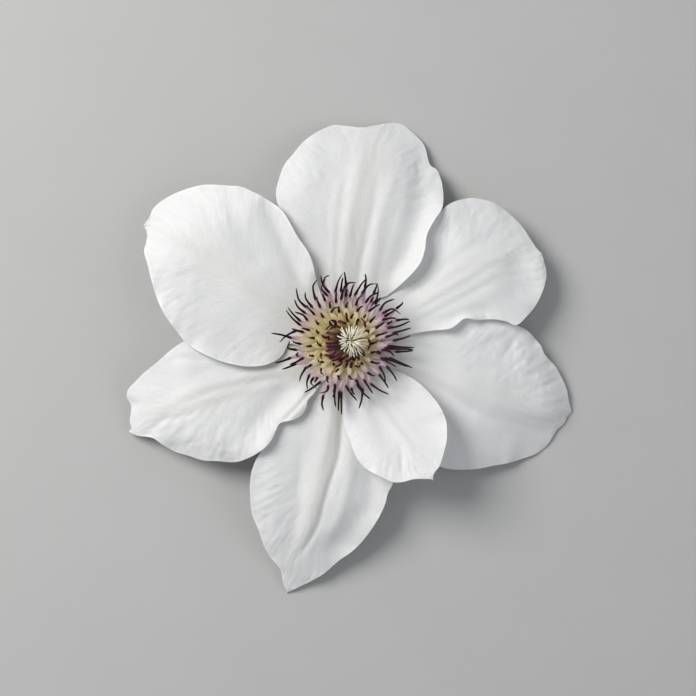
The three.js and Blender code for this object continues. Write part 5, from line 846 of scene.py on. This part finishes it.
def stamen(bunch, row, rng):
    lower, upper = stamen_line(row)
    inner = row[0] == 3
    outward = normalised(np.array([lower[2][0], lower[2][1], 0.0]))
    tangential = np.array([-outward[1], outward[0], 0.0])
    wobble = rng.uniform(-0.35, 0.35)
    shade, twist = rng.uniform(0, 1), rng.uniform(-0.35, 0.35)
    if inner:
        # the short inner anthers lie less tidily
        upper[1] = upper[1] + tangential * rng.uniform(-0.40, 0.40) + np.array([0, 0, rng.uniform(-0.15, 0.45)])
        upper[2] = upper[2] + tangential * rng.uniform(-0.55, 0.55) + np.array([0, 0, rng.uniform(-0.20, 0.30)])

    # filament: a flat ribbon, widest in its lower half, a little hollow along its face
    n = 30
    line = smooth3(lower, n - 1)
    k = np.linspace(0, 1, n)
    line = line + tangential[None] * (wobble * np.sin(np.pi * k) * 0.4)[:, None]
    if inner:
        wide = np.interp(k, [0, 0.15, 0.5, 0.8, 0.94, 1], [0.9, 1.25, 1.40, 1.25, 0.95, 0.75])
    else:
        wide = np.interp(k, [0, 0.12, 0.35, 0.65, 0.86, 0.96, 1], [1.1, 1.9, 2.60, 2.35, 1.45, 0.92, 0.70])
    wide = wide * rng.uniform(0.9, 1.12)
    thick = np.interp(k, [0, 0.2, 0.7, 1], [0.50, 0.34, 0.28, 0.38])
    turn = np.array([tangential * math.cos(twist * t) + outward * math.sin(twist * t) for t in k])
    crease = lambda angle: 1 - 0.16 * np.exp(-((np.abs(np.sin(angle)) - 1) / 0.10)**2)[None] * np.ones((n, 1))
    ring, c = sweep(line, wide, thick, turn, 12, crease)
    # the ribbon's edges stand a little higher than its middle
    ring[..., 2] += (0.10 * wide[:, None] * (c[None]**2 - 0.5)) * smoothstep(0.1, 0.35, k)[:, None]
    values = np.stack([np.broadcast_to(k[:, None], ring.shape[:2]), np.full(ring.shape[:2], shade),
                       np.broadcast_to(c[None], ring.shape[:2])], -1)
    where = np.stack([place_values(ring), ring[..., 2], np.full(ring.shape[:2], 1.0 if inner else 0.0)], -1)
    bunch.add(ring, values, where)

    # anther: a narrow dark blade with a groove along each face, curling at its tip
    m = 24
    line2 = smooth3([lower[3] * 0.05 + upper[0] * 0.95] + upper[1:], m - 1)
    g = np.linspace(0, 1, m)
    side = rng.uniform(-1, 1)
    if inner:
        curl = rng.uniform(0.0, 0.9) * g**2
        size = rng.uniform(0.80, 1.12)
        twist += rng.uniform(-0.5, 0.5)
        wide2 = size * np.interp(g, [0, 0.06, 0.2, 0.5, 0.86, 0.97, 1], [0.66, 0.98, 1.08, 0.98, 0.88, 0.60, 0.30])
        thick2 = size * np.interp(g, [0, 0.08, 0.35, 0.85, 0.97, 1], [0.50, 0.76, 0.80, 0.66, 0.44, 0.22])
    else:
        curl = rng.uniform(0.15, 0.85) * g**3
        wide2 = np.interp(g, [0, 0.05, 0.14, 0.35, 0.85, 1], [0.62, 1.02, 0.94, 0.68, 0.54, 0.24])
        thick2 = np.interp(g, [0, 0.08, 0.35, 0.85, 1], [0.44, 0.62, 0.52, 0.42, 0.20])
    line2 = line2 + (tangential * side * 0.5 + outward * 0.25)[None] * curl[:, None] + np.array([0, 0, 0.2])[None] * curl[:, None]
    turn2 = np.array([tangential * math.cos(twist + 0.6 * side * t) + outward * math.sin(twist + 0.6 * side * t) for t in g])
    groove = lambda angle: 1 - 0.34 * np.exp(-((np.abs(np.sin(angle)) - 1) / 0.16)**2)[None] * np.ones((m, 1))
    ring, c = sweep(line2, wide2, thick2, turn2, 14, groove)
    values = np.stack([np.broadcast_to(1 + g[:, None], ring.shape[:2]), np.full(ring.shape[:2], shade),
                       np.broadcast_to(c[None], ring.shape[:2])], -1)
    where = np.stack([place_values(ring), ring[..., 2], np.full(ring.shape[:2], 1.0 if inner else 0.0)], -1)
    bunch.add(ring, values, where)


def style(bunch, foot, waist, shoulder, tip, rng, size=1.0):
    """One silky thread of the pistil, rising and then spreading outwards like a fountain's jet."""
    n = 34
    away = normalised(np.array([tip[0] - waist[0], tip[1] - waist[1], 0.0]) + 1e-6)
    around = np.array([-away[1], away[0], 0.0])
    reach = rng.uniform(0.25, 0.75)
    end = tip + away * reach + np.array([0, 0, -rng.uniform(0.15, 0.6)]) + around * rng.uniform(-0.22, 0.22)
    line = smooth3([foot, waist, shoulder, tip, end], n - 1)
    k = np.linspace(0, 1, n)
    phase, turns = rng.uniform(0, 6.3), rng.uniform(1.0, 1.9)
    wob = 0.13 * k**1.4
    line = (line + around[None] * (wob * np.sin(phase + turns * 6.28 * k))[:, None]
            + np.array([0, 0, 1.0])[None] * (wob * 0.9 * np.cos(phase + turns * 6.28 * k))[:, None])
    wide = size * np.interp(k, [0, 0.3, 0.6, 0.85, 0.96, 1], [0.56, 0.40, 0.34, 0.42, 0.40, 0.20])
    turn = np.broadcast_to(around, (n, 3))
    ring, c = sweep(line, wide, wide * 0.85, turn, 10)
    shade = rng.uniform(0, 1)
    values = np.stack([np.broadcast_to(k[:, None], ring.shape[:2]), np.full(ring.shape[:2], shade),
                       np.broadcast_to(c[None], ring.shape[:2])], -1)
    bunch.add(ring, values)


# ---------------------------------------------------------------- materials

def material(name):
    mat = bpy.data.materials.new(name)
    mat.use_nodes = True
    nodes, links = mat.node_tree.nodes, mat.node_tree.links
    nodes.clear()
    out = nodes.new("ShaderNodeOutputMaterial")
    shader = nodes.new("ShaderNodeBsdfPrincipled")
    links.new(shader.outputs["BSDF"], out.inputs["Surface"])
    return mat, nodes, links, shader


def attribute(nodes, links, name):
    node = nodes.new("ShaderNodeAttribute")
    node.attribute_type = "GEOMETRY"
    node.attribute_name = name
    split = nodes.new("ShaderNodeSeparateXYZ")
    links.new(node.outputs["Vector"], split.inputs["Vector"])
    return node.outputs["Vector"], split.outputs["X"], split.outputs["Y"], split.outputs["Z"]


def math_node(nodes, links, operation, a, b=None, clamp=False):
    node = nodes.new("ShaderNodeMath")
    node.operation = operation
    node.use_clamp = clamp
    for socket, value in zip(node.inputs, (a, b)):
        if value is None:
            continue
        if isinstance(value, (int, float)):
            socket.default_value = value
        else:
            links.new(value, socket)
    return node.outputs[0]


def mix_colour(nodes, links, factor, a, b, blend="MIX"):
    node = nodes.new("ShaderNodeMix")
    node.data_type = "RGBA"
    node.blend_type = blend
    for socket, value in ((node.inputs["Factor"], factor), (node.inputs["A"], a), (node.inputs["B"], b)):
        pass
    sockets = [s for s in node.inputs if s.enabled]
    fac = sockets[0]
    col = [s for s in sockets if s.type == "RGBA"]
    for socket, value in ((fac, factor), (col[0], a), (col[1], b)):
        if isinstance(value, (int, float)):
            socket.default_value = value
        elif isinstance(value, tuple):
            socket.default_value = (*value, 1.0)
        else:
            links.new(value, socket)
    return [s for s in node.outputs if s.enabled][0]


def ramp(nodes, links, factor, stops, interpolation="LINEAR"):
    node = nodes.new("ShaderNodeValToRGB")
    node.color_ramp.interpolation = interpolation
    elements = node.color_ramp.elements
    while len(elements) > 1:
        elements.remove(elements[-1])
    elements[0].position = stops[0][0]
    elements[0].color = (*stops[0][1], 1)
    for position, colour in stops[1:]:
        e = elements.new(position)
        e.color = (*colour, 1)
    links.new(factor, node.inputs["Fac"])
    return node.outputs["Color"]


def scaled(nodes, links, vector, scale):
    node = nodes.new("ShaderNodeVectorMath")
    node.operation = "MULTIPLY"
    links.new(vector, node.inputs[0])
    node.inputs[1].default_value = scale
    return node.outputs[0]


def noise(nodes, links, vector, scale, detail=2.0, roughness=0.5):
    node = nodes.new("ShaderNodeTexNoise")
    node.inputs["Scale"].default_value = scale
    node.inputs["Detail"].default_value = detail
    node.inputs["Roughness"].default_value = roughness
    links.new(vector, node.inputs["Vector"])
    return node.outputs["Fac"]


def bump(nodes, links, shader, height, strength, distance, previous=None):
    node = nodes.new("ShaderNodeBump")
    node.inputs["Strength"].default_value = strength
    node.inputs["Distance"].default_value = distance
    links.new(height, node.inputs["Height"])
    if previous is not None:
        links.new(previous, node.inputs["Normal"])
    links.new(node.outputs["Normal"], shader.inputs["Normal"])
    return node.outputs["Normal"]


def tepal_material():
    mat, nodes, links, sh = material("white_tepal")
    vein, s, t, edge = attribute(nodes, links, "vein")
    _, base, rib, back = attribute(nodes, links, "zone")
    _, strong, patch, painted_brightness = attribute(nodes, links, "extra")
    # veins run along the fanned coordinate: fine across it, long along it
    fine = noise(nodes, links, scaled(nodes, links, vein, (2.6, 0.20, 0.0)), 1.0, 3.0, 0.6)
    broad = noise(nodes, links, scaled(nodes, links, vein, (0.55, 0.16, 0.0)), 1.0, 2.0, 0.5)
    long_lines = noise(nodes, links, scaled(nodes, links, vein, (0.05, 1.5, 0.0)), 1.0, 3.0, 0.6)
    cloud = noise(nodes, links, scaled(nodes, links, vein, (0.10, 0.12, 0.1)), 1.0, 2.0, 0.5)

    colour = mix_colour(nodes, links, math_node(nodes, links, "MULTIPLY", ramp_value(nodes, links, broad, 0.42, 0.72), 0.55),
                        (0.862, 0.862, 0.858), (0.792, 0.804, 0.816))
    colour = mix_colour(nodes, links, math_node(nodes, links, "MULTIPLY", ramp_value(nodes, links, fine, 0.50, 0.78), 0.30),
                        colour, (0.730, 0.745, 0.765))
    colour = mix_colour(nodes, links, math_node(nodes, links, "MULTIPLY", ramp_value(nodes, links, cloud, 0.40, 0.70), 0.35),
                        colour, (0.870, 0.865, 0.835))
    colour = mix_colour(nodes, links, math_node(nodes, links, "MULTIPLY", rib, 0.45), colour, (0.875, 0.865, 0.800))
    lines = math_node(nodes, links, "MULTIPLY", ramp_value(nodes, links, long_lines, 0.52, 0.75), rib)
    colour = mix_colour(nodes, links, math_node(nodes, links, "MULTIPLY", lines, 0.35), colour, (0.74, 0.74, 0.70))
    colour = mix_colour(nodes, links, math_node(nodes, links, "MULTIPLY", base, 0.75), colour, (0.72, 0.72, 0.50))
    # painted light: each petal's colour is whitened by its own painted brightness
    colour = mix_colour(nodes, links, math_node(nodes, links, "MULTIPLY", painted_brightness, 0.70), colour, (0.955, 0.955, 0.948))
    # a very thin pale rim
    rim = ramp_value(nodes, links, edge, 0.90, 0.15)
    colour = mix_colour(nodes, links, math_node(nodes, links, "MULTIPLY", rim, 0.85), colour, (0.97, 0.97, 0.96))
    # the back is a little greener along its strong veins
    shown = math_node(nodes, links, "MULTIPLY", strong, back)
    colour = mix_colour(nodes, links, math_node(nodes, links, "MULTIPLY", shown, 0.55), colour, (0.60, 0.66, 0.45))
    links.new(colour, sh.inputs["Base Color"])

    rough = math_node(nodes, links, "MULTIPLY_ADD", fine, 0.16)
    rough.node.inputs[2].default_value = 0.44
    links.new(rough, sh.inputs["Roughness"])
    sh.inputs["Specular IOR Level"].default_value = 0.30
    sh.inputs["Subsurface Weight"].default_value = 0.35
    sh.inputs["Subsurface Radius"].default_value = (1.0, 0.95, 0.85)
    sh.inputs["Subsurface Scale"].default_value = 0.0010
    sh.inputs["Sheen Weight"].default_value = 0.12
    sh.inputs["Sheen Roughness"].default_value = 0.45

    cells = nodes.new("ShaderNodeTexVoronoi")
    cells.inputs["Scale"].default_value = 1.0
    links.new(scaled(nodes, links, vein, (7.0, 3.0, 0.0)), cells.inputs["Vector"])
    first = bump(nodes, links, sh, fine, 0.55, 0.00022)
    second = bump(nodes, links, sh, long_lines, 0.28, 0.00014, first)
    bump(nodes, links, sh, cells.outputs["Distance"], 0.20, 0.00005, second)
    return mat


def ramp_value(nodes, links, value, low, high):
    node = nodes.new("ShaderNodeMapRange")
    node.inputs["From Min"].default_value = low
    node.inputs["From Max"].default_value = high
    node.interpolation_type = "SMOOTHSTEP"
    links.new(value, node.inputs["Value"])
    return node.outputs["Result"]


def stamen_material():
    mat, nodes, links, sh = material("stamen")
    thread, k, shade, across = attribute(nodes, links, "thread")
    _, reach, _height, inner = attribute(nodes, links, "place")
    # a filament is olive at the heart of the flower, then cream, then pale pink
    far = math_node(nodes, links, "MULTIPLY", reach, 0.05)
    base = ramp(nodes, links, far, [
        (0.00, (0.22, 0.12, 0.04)), (0.15, (0.34, 0.20, 0.06)), (0.24, (0.86, 0.64, 0.20)), (0.31, (0.98, 0.84, 0.42)),
        (0.46, (0.99, 0.86, 0.50)), (0.56, (0.98, 0.84, 0.62)), (0.67, (0.94, 0.78, 0.76)),
        (0.80, (0.86, 0.66, 0.76)), (1.00, (0.78, 0.55, 0.70))])
    # and turns mauve, then maroon, just before its anther
    near = ramp_value(nodes, links, k, 0.72, 0.98)
    near = math_node(nodes, links, "MULTIPLY", near, ramp_value(nodes, links, reach, 8.5, 13.0))
    base = mix_colour(nodes, links, math_node(nodes, links, "MULTIPLY", near, 0.58), base, (0.50, 0.28, 0.44))
    neck = ramp_value(nodes, links, k, 0.935, 1.00)
    base = mix_colour(nodes, links, math_node(nodes, links, "MULTIPLY", neck, 0.92), base, (0.15, 0.016, 0.045))
    tail = math_node(nodes, links, "MULTIPLY_ADD", k, 1.0)
    tail.node.inputs[2].default_value = -1.0
    dark = ramp(nodes, links, tail, [
        (0.00, (0.12, 0.012, 0.036)), (0.06, (0.07, 0.007, 0.022)), (0.20, (0.020, 0.004, 0.010)), (1.00, (0.010, 0.003, 0.006))])
    stout = ramp(nodes, links, tail, [
        (0.00, (0.16, 0.014, 0.020)), (0.22, (0.060, 0.006, 0.014)), (0.60, (0.030, 0.004, 0.010)), (1.00, (0.014, 0.003, 0.006))])
    dark = mix_colour(nodes, links, inner, dark, stout)
    dark = mix_colour(nodes, links, math_node(nodes, links, "MULTIPLY", math_node(nodes, links, "MULTIPLY", shade, inner), 0.22),
                      dark, (0.22, 0.04, 0.08))
    is_anther = math_node(nodes, links, "GREATER_THAN", k, 0.9995)
    # each filament has a tint of its own, and pale edges
    ridge = math_node(nodes, links, "ABSOLUTE", across)
    edge = ramp_value(nodes, links, ridge, 0.70, 1.0)
    tint = mix_colour(nodes, links, math_node(nodes, links, "MULTIPLY", shade, 0.22), base, (0.84, 0.76, 0.78), "MULTIPLY")
    tint = mix_colour(nodes, links, math_node(nodes, links, "MULTIPLY", edge, 0.30), tint, (0.92, 0.88, 0.86))
    # the stout inner anthers have a purple bloom along their edges, which also serves there as a painted highlight
    bloom_and_highlight = math_node(nodes, links, "MULTIPLY", edge, inner)
    dark = mix_colour(nodes, links, math_node(nodes, links, "MULTIPLY", bloom_and_highlight, 0.26), dark, (0.38, 0.13, 0.20))
    grain = noise(nodes, links, scaled(nodes, links, thread, (6.0, 40.0, 5.0)), 1.0, 3.0, 0.6)
    tint = mix_colour(nodes, links, math_node(nodes, links, "MULTIPLY", grain, 0.22), tint, (0.70, 0.60, 0.62), "MULTIPLY")
    colour = mix_colour(nodes, links, is_anther, tint, dark)
    links.new(colour, sh.inputs["Base Color"])
    rough = math_node(nodes, links, "MULTIPLY_ADD", grain, 0.2)
    rough.node.inputs[2].default_value = 0.42
    links.new(rough, sh.inputs["Roughness"])
    sh.inputs["Specular IOR Level"].default_value = 0.22
    sh.inputs["Subsurface Weight"].default_value = 0.45
    sh.inputs["Subsurface Radius"].default_value = (1.0, 0.85, 0.8)
    sh.inputs["Subsurface Scale"].default_value = 0.0010
    bump(nodes, links, sh, grain, 0.35, 0.00006)
    return mat


def style_material():
    mat, nodes, links, sh = material("style")
    thread, k, shade, across = attribute(nodes, links, "thread")
    colour = ramp(nodes, links, k, [
        (0.00, (0.24, 0.27, 0.06)), (0.40, (0.48, 0.46, 0.12)), (0.53, (0.84, 0.79, 0.36)),
        (0.66, (0.95, 0.90, 0.64)), (0.82, (0.97, 0.93, 0.80)), (1.00, (0.94, 0.88, 0.82))])
    tint = mix_colour(nodes, links, math_node(nodes, links, "MULTIPLY", shade, 0.25), colour, (0.94, 0.90, 0.86), "MULTIPLY")
    silk = noise(nodes, links, scaled(nodes, links, thread, (14.0, 30.0, 6.0)), 1.0, 3.0, 0.6)
    tint = mix_colour(nodes, links, math_node(nodes, links, "MULTIPLY", silk, 0.25), tint, (0.74, 0.70, 0.58), "MULTIPLY")
    links.new(tint, sh.inputs["Base Color"])
    sh.inputs["Roughness"].default_value = 0.42
    rough = math_node(nodes, links, "MULTIPLY_ADD", silk, 0.2)
    rough.node.inputs[2].default_value = 0.34
    links.new(rough, sh.inputs["Roughness"])
    sh.inputs["Subsurface Weight"].default_value = 0.2
    sh.inputs["Subsurface Radius"].default_value = (1.0, 0.9, 0.7)
    sh.inputs["Subsurface Scale"].default_value = 0.0004
    sh.inputs["Sheen Weight"].default_value = 0.3
    bump(nodes, links, sh, silk, 0.4, 0.00008)
    return mat


def green_material(name, main, flush, pale, bump_scale):
    """Fresh plant tissue. The attribute `thread` holds (place along, place around, cut face)."""
    mat, nodes, links, sh = material(name)
    thread, along, around, cut = attribute(nodes, links, "thread")
    streak = noise(nodes, links, scaled(nodes, links, thread, (0.35, 3.0, 0.0)), 1.0, 4.0, 0.6)
    cloud = noise(nodes, links, scaled(nodes, links, thread, (0.16, 0.4, 0.0)), 1.0, 2.0, 0.5)
    colour = mix_colour(nodes, links, ramp_value(nodes, links, cloud, 0.42, 0.66), main, flush)
    colour = mix_colour(nodes, links, math_node(nodes, links, "MULTIPLY", ramp_value(nodes, links, streak, 0.5, 0.75), 0.45), colour, pale)
    colour = mix_colour(nodes, links, cut, colour, (0.62, 0.66, 0.38))
    links.new(colour, sh.inputs["Base Color"])
    rough = math_node(nodes, links, "MULTIPLY_ADD", streak, 0.25)
    rough.node.inputs[2].default_value = 0.38
    links.new(rough, sh.inputs["Roughness"])
    sh.inputs["Specular IOR Level"].default_value = 0.4
    sh.inputs["Subsurface Weight"].default_value = 0.12
    sh.inputs["Subsurface Radius"].default_value = (0.6, 1.0, 0.3)
    sh.inputs["Subsurface Scale"].default_value = 0.0006
    bump(nodes, links, sh, streak, 0.4, bump_scale)
    return mat


TEPAL_MAT, STAMEN_MAT, STYLE_MAT = tepal_material(), stamen_material(), style_material()
RECEPTACLE_MAT = green_material("receptacle_green", (0.30, 0.38, 0.10), (0.42, 0.46, 0.18), (0.50, 0.54, 0.26), 0.00012)
STALK_MAT = green_material("stalk_green", (0.17, 0.24, 0.055), (0.22, 0.15, 0.075), (0.32, 0.37, 0.14), 0.00015)


def finish_piece(obj, mat, node):
    obj.data.materials.append(mat)
    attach(obj, "root")
    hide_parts(node)


# ------------------------------------------------------------------ the parts

for number, name in enumerate(TEPALS):
    finish_piece(tepal(name, 100 + 37 * number), TEPAL_MAT, f"tepal_{name}")

rng = np.random.default_rng(2024)
for index, ring in enumerate(RINGS):
    for k in range(ring["bundles"]):
        bunch = Bunch()
        for row in STAMENS:
            if row[0] == index and row[1] == k:
                stamen(bunch, row, rng)
        label = f"stamens_{ring['name']}_{k + 1:02d}"
        finish_piece(bunch.make(f"threads_{label}"), STAMEN_MAT, label)

for k in range(6):
    bunch = Bunch()
    for row in STYLES:
        if row[0] != k:
            continue
        pts = [np.array(row[i:i + 3], float) for i in (1, 4, 7, 10)]
        style(bunch, *pts, rng)
    # a short inner thread fills the heart of the tuft
    angle = (k + 0.5) * math.pi / 3
    foot = np.array([0.5 * math.cos(angle), 0.5 * math.sin(angle), 16.1])
    lean = 1.45
    far = rng.uniform(1.3, 2.3)
    tip = np.array([far * math.cos(angle) + lean, far * math.sin(angle), 24.9])
    style(bunch, foot, np.array([foot[0] * 1.1 + 0.3 * lean, foot[1] * 1.1, 21.5]),
          np.array([0.5 * far * math.cos(angle) + 0.75 * lean, 0.5 * far * math.sin(angle), 24.1]), tip, rng, 0.9)
    label = f"styles_{k + 1:02d}"
    finish_piece(bunch.make(f"threads_{label}"), STYLE_MAT, label)


def receptacle():
    profile = np.array([(0.0, 4.80), (1.40, 4.85), (1.75, 5.1), (2.3, 5.5), (3.1, 6.0), (3.75, 6.8), (4.0, 7.8),
                        (4.05, 10.0), (4.0, 11.8), (3.8, 12.7), (3.4, 13.7), (2.95, 14.6), (2.6, 15.3), (2.35, 16.0), (1.6, 16.5), (0.0, 16.7)])
    line = evenly(smooth_line(profile, 0.2), 90)
    sides = 84
    angle = np.arange(sides) * 2 * np.pi / sides
    radius, height = line[1:-1, 0], line[1:-1, 1]
    lobes = 1 + (0.035 * np.cos(7 * angle)[None] * np.exp(-((height - 7.5) / 1.6)**2)[:, None]
                 + 0.02 * np.cos(21 * angle + 1)[None] * np.exp(-((height - 6.3) / 1.0)**2)[:, None])
    grain = 1 + 0.012 * value_noise(angle[None] * 9 + 0 * height[:, None], height[:, None] * 1.3 + 0 * angle[None], 5)
    rr = radius[:, None] * lobes * grain
    ring = np.stack([rr * np.cos(angle)[None], rr * np.sin(angle)[None], np.broadcast_to(height[:, None], rr.shape)], -1)
    values = np.stack([np.broadcast_to(height[:, None] * 2, rr.shape), np.broadcast_to(np.cos(angle)[None] * 4, rr.shape),
                       np.zeros_like(rr)], -1)
    bunch = Bunch()
    bunch.add(ring, values)
    # ovaries: small silky-green achenes crowded under the styles
    for row in STYLES:
        foot = np.array(row[1:4], float)
        away = np.array([foot[0], foot[1], 0.0])
        pts = np.array([foot * [1, 1, 0] + [0, 0, 15.7], foot + away * 0.05 + [0, 0, 0.3], foot + away * 0.1 + [0, 0, 1.3]])
        n = 8
        l2 = smooth3(pts, n - 1)
        wide = np.interp(np.linspace(0, 1, n), [0, 0.4, 1], [0.7, 0.85, 0.4])
        r2, c = sweep(l2, wide, wide, np.broadcast_to(np.array([1.0, 0.3, 0.0]), (n, 3)), 8)
        bunch.add(r2, np.stack([np.full(r2.shape[:2], 3.0), np.broadcast_to(c[None], r2.shape[:2]), np.zeros(r2.shape[:2])], -1))
    return bunch.make("receptacle_dome")


def stalk():
    route = [(0, 0, 5.4), (-0.08, -0.1, 4.1), (-0.9, -1.1, 2.75), (-3.4, -4.1, 1.6), (-8.5, -10.0, 1.24),
             (-15.5, -17.2, 1.2), (-22.5, -22.6, 1.2), (-30.5, -27.2, 1.2), (-38.5, -30.6, 1.2)]
    n = 190
    line = smooth3(route, n - 1)
    run = lengths(line)
    line = line + np.stack([0.10 * value_noise(run / 7, run * 0 + 1, 21), 0.10 * value_noise(run / 7, run * 0 + 4, 22), 0 * run], -1) * smoothstep(0, 6, run)[:, None] * smoothstep(run[-1], run[-1] - 2, run)[:, None]
    sides = 60
    angle = np.arange(sides) * 2 * np.pi / sides
    radius = 1.10 + 0.28 * np.exp(-run / 1.4) + 0.06 * np.exp(-((run - 4.0) / 1.8)**2) + 0.025 * value_noise(run / 2.5, run * 0, 23)
    tangent = normalised(np.gradient(line, axis=0))
    w = np.zeros_like(tangent)
    current = np.array([1.0, 0.0, 0.0])
    for i in range(n):
        current = current - tangent[i] * (current @ tangent[i])
        current = current / np.linalg.norm(current)
        w[i] = current
    d = np.cross(tangent, w)
    ribs = 1 + 0.055 * np.cos(6 * angle[None] + 0.012 * run[:, None]) + 0.012 * value_noise(angle[None] * 7 + 0 * run[:, None], run[:, None] / 3 + 0 * angle[None], 24)
    rr = radius[:, None] * ribs
    ring = (line[:, None, :] + w[:, None, :] * (rr * np.cos(angle)[None])[..., None] + d[:, None, :] * (rr * np.sin(angle)[None])[..., None])
    # the end is cut at a slant
    slant = (ring[-1] - line[-1]) @ np.array([0, 0, 1.0])
    ring[-1] = ring[-1] + tangent[-1][None] * (slant * 0.75)[:, None]
    ring[-2] = ring[-2] + tangent[-1][None] * (slant * 0.70)[:, None]
    ring[..., 2] = np.maximum(ring[..., 2], 0.05)
    cut = np.zeros(n)
    values = np.stack([np.broadcast_to(run[:, None], rr.shape), np.broadcast_to(np.cos(3 * angle)[None] * 2, rr.shape),
                       np.broadcast_to(cut[:, None], rr.shape)], -1)
    # pith and wood of the cut face, as rings drawn in from its edge
    centre = ring[-1].mean(0)
    inner, vals = [], []
    for f, depth in ((0.93, 0.02), (0.80, 0.05), (0.55, 0.0), (0.30, -0.06), (0.10, -0.08)):
        inner.append(centre + (ring[-1] - centre) * f + tangent[-1] * depth)
        vals.append(np.stack([np.full(sides, run[-1] + 3 * (1 - f)), np.cos(6 * angle), np.full(sides, 1.0 if f < 0.9 else 0.7)], -1))
    ring = np.concatenate([ring, np.array(inner)])
    values = np.concatenate([values, np.array(vals)])
    bunch = Bunch()
    bunch.add(ring, values)
    return bunch.make("flower_stalk")


finish_piece(receptacle(), RECEPTACLE_MAT, "receptacle")
finish_piece(stalk(), STALK_MAT, "pedicel")

# ---------------------------------------------------------- floor and lights

floor_mesh = bpy.data.meshes.new("floor")
half = 3.0
floor_mesh.from_pydata([(-half, -half, 0), (half, -half, 0), (half, half, 0), (-half, half, 0)], [], [(0, 1, 2, 3)])
floor = bpy.data.objects.new("floor", floor_mesh)
bpy.context.scene.collection.objects.link(floor)
fmat, fn, fl, fs = material("floor_pale")
coords = fn.new("ShaderNodeTexCoord")
speck = noise(fn, fl, coords.outputs["Object"], 40.0, 4.0, 0.6)
fl.new(mix_colour(fn, fl, speck, (0.54, 0.54, 0.535), (0.57, 0.57, 0.565)), fs.inputs["Base Color"])
fs.inputs["Roughness"].default_value = 0.75
fs.inputs["Specular IOR Level"].default_value = 0.2
floor_mesh.materials.append(fmat)


def area_light(name, direction, distance, size, power, colour):
    data = bpy.data.lights.new(name, "AREA")
    data.shape = "DISK"
    data.size = size
    data.energy = power
    data.color = colour
    obj = bpy.data.objects.new(name, data)
    bpy.context.scene.collection.objects.link(obj)
    d = Vector(direction).normalized()
    obj.location = d * distance + Vector((0, 0, 0.015))
    obj.rotation_mode = "QUATERNION"
    obj.rotation_quaternion = d.to_track_quat("Z", "Y")
    return obj


area_light("key", (-0.66, 0.38, 0.62), 1.0, 0.55, 8.6, (1.0, 0.988, 0.960))
area_light("fill", (0.75, -0.25, 0.60), 1.1, 0.9, 1.8, (0.96, 0.975, 1.0))

world = bpy.data.worlds.new("studio")
world.use_nodes = True
world.node_tree.nodes["Background"].inputs["Color"].default_value = (0.92, 0.95, 1.0, 1)
world.node_tree.nodes["Background"].inputs["Strength"].default_value = 0.28
bpy.context.scene.world = world
bpy.context.scene.view_settings.view_transform = "Standard"

# ------------------------------------------------------------------- camera
# 600 mm above the flower and a little to its left, looking down on it.
VIEW = np.array([-0.10, -0.04, 0.994]); VIEW = VIEW / np.linalg.norm(VIEW)
RIGHT = normalised(np.cross(-VIEW, np.array([0.0, 1.0, 0.0])))
UP = np.cross(RIGHT, -VIEW)
EYE = to_world([(-59.330, -26.194, 612.009)])[0]
cam_data = bpy.data.cameras.new("camera")
cam_data.sensor_width = 36.0
cam_data.lens = 36.0 * 1823.6 / 696.0
cam_data.clip_start, cam_data.clip_end = 0.01, 20.0
camera = bpy.data.objects.new("camera", cam_data)
bpy.context.scene.collection.objects.link(camera)
camera.matrix_world = Matrix((
    (RIGHT[0], UP[0], VIEW[0], EYE[0]),
    (RIGHT[1], UP[1], VIEW[1], EYE[1]),
    (RIGHT[2], UP[2], VIEW[2], EYE[2]),
    (0, 0, 0, 1)))
bpy.context.scene.camera = camera

bpy.context.view_layer.update()
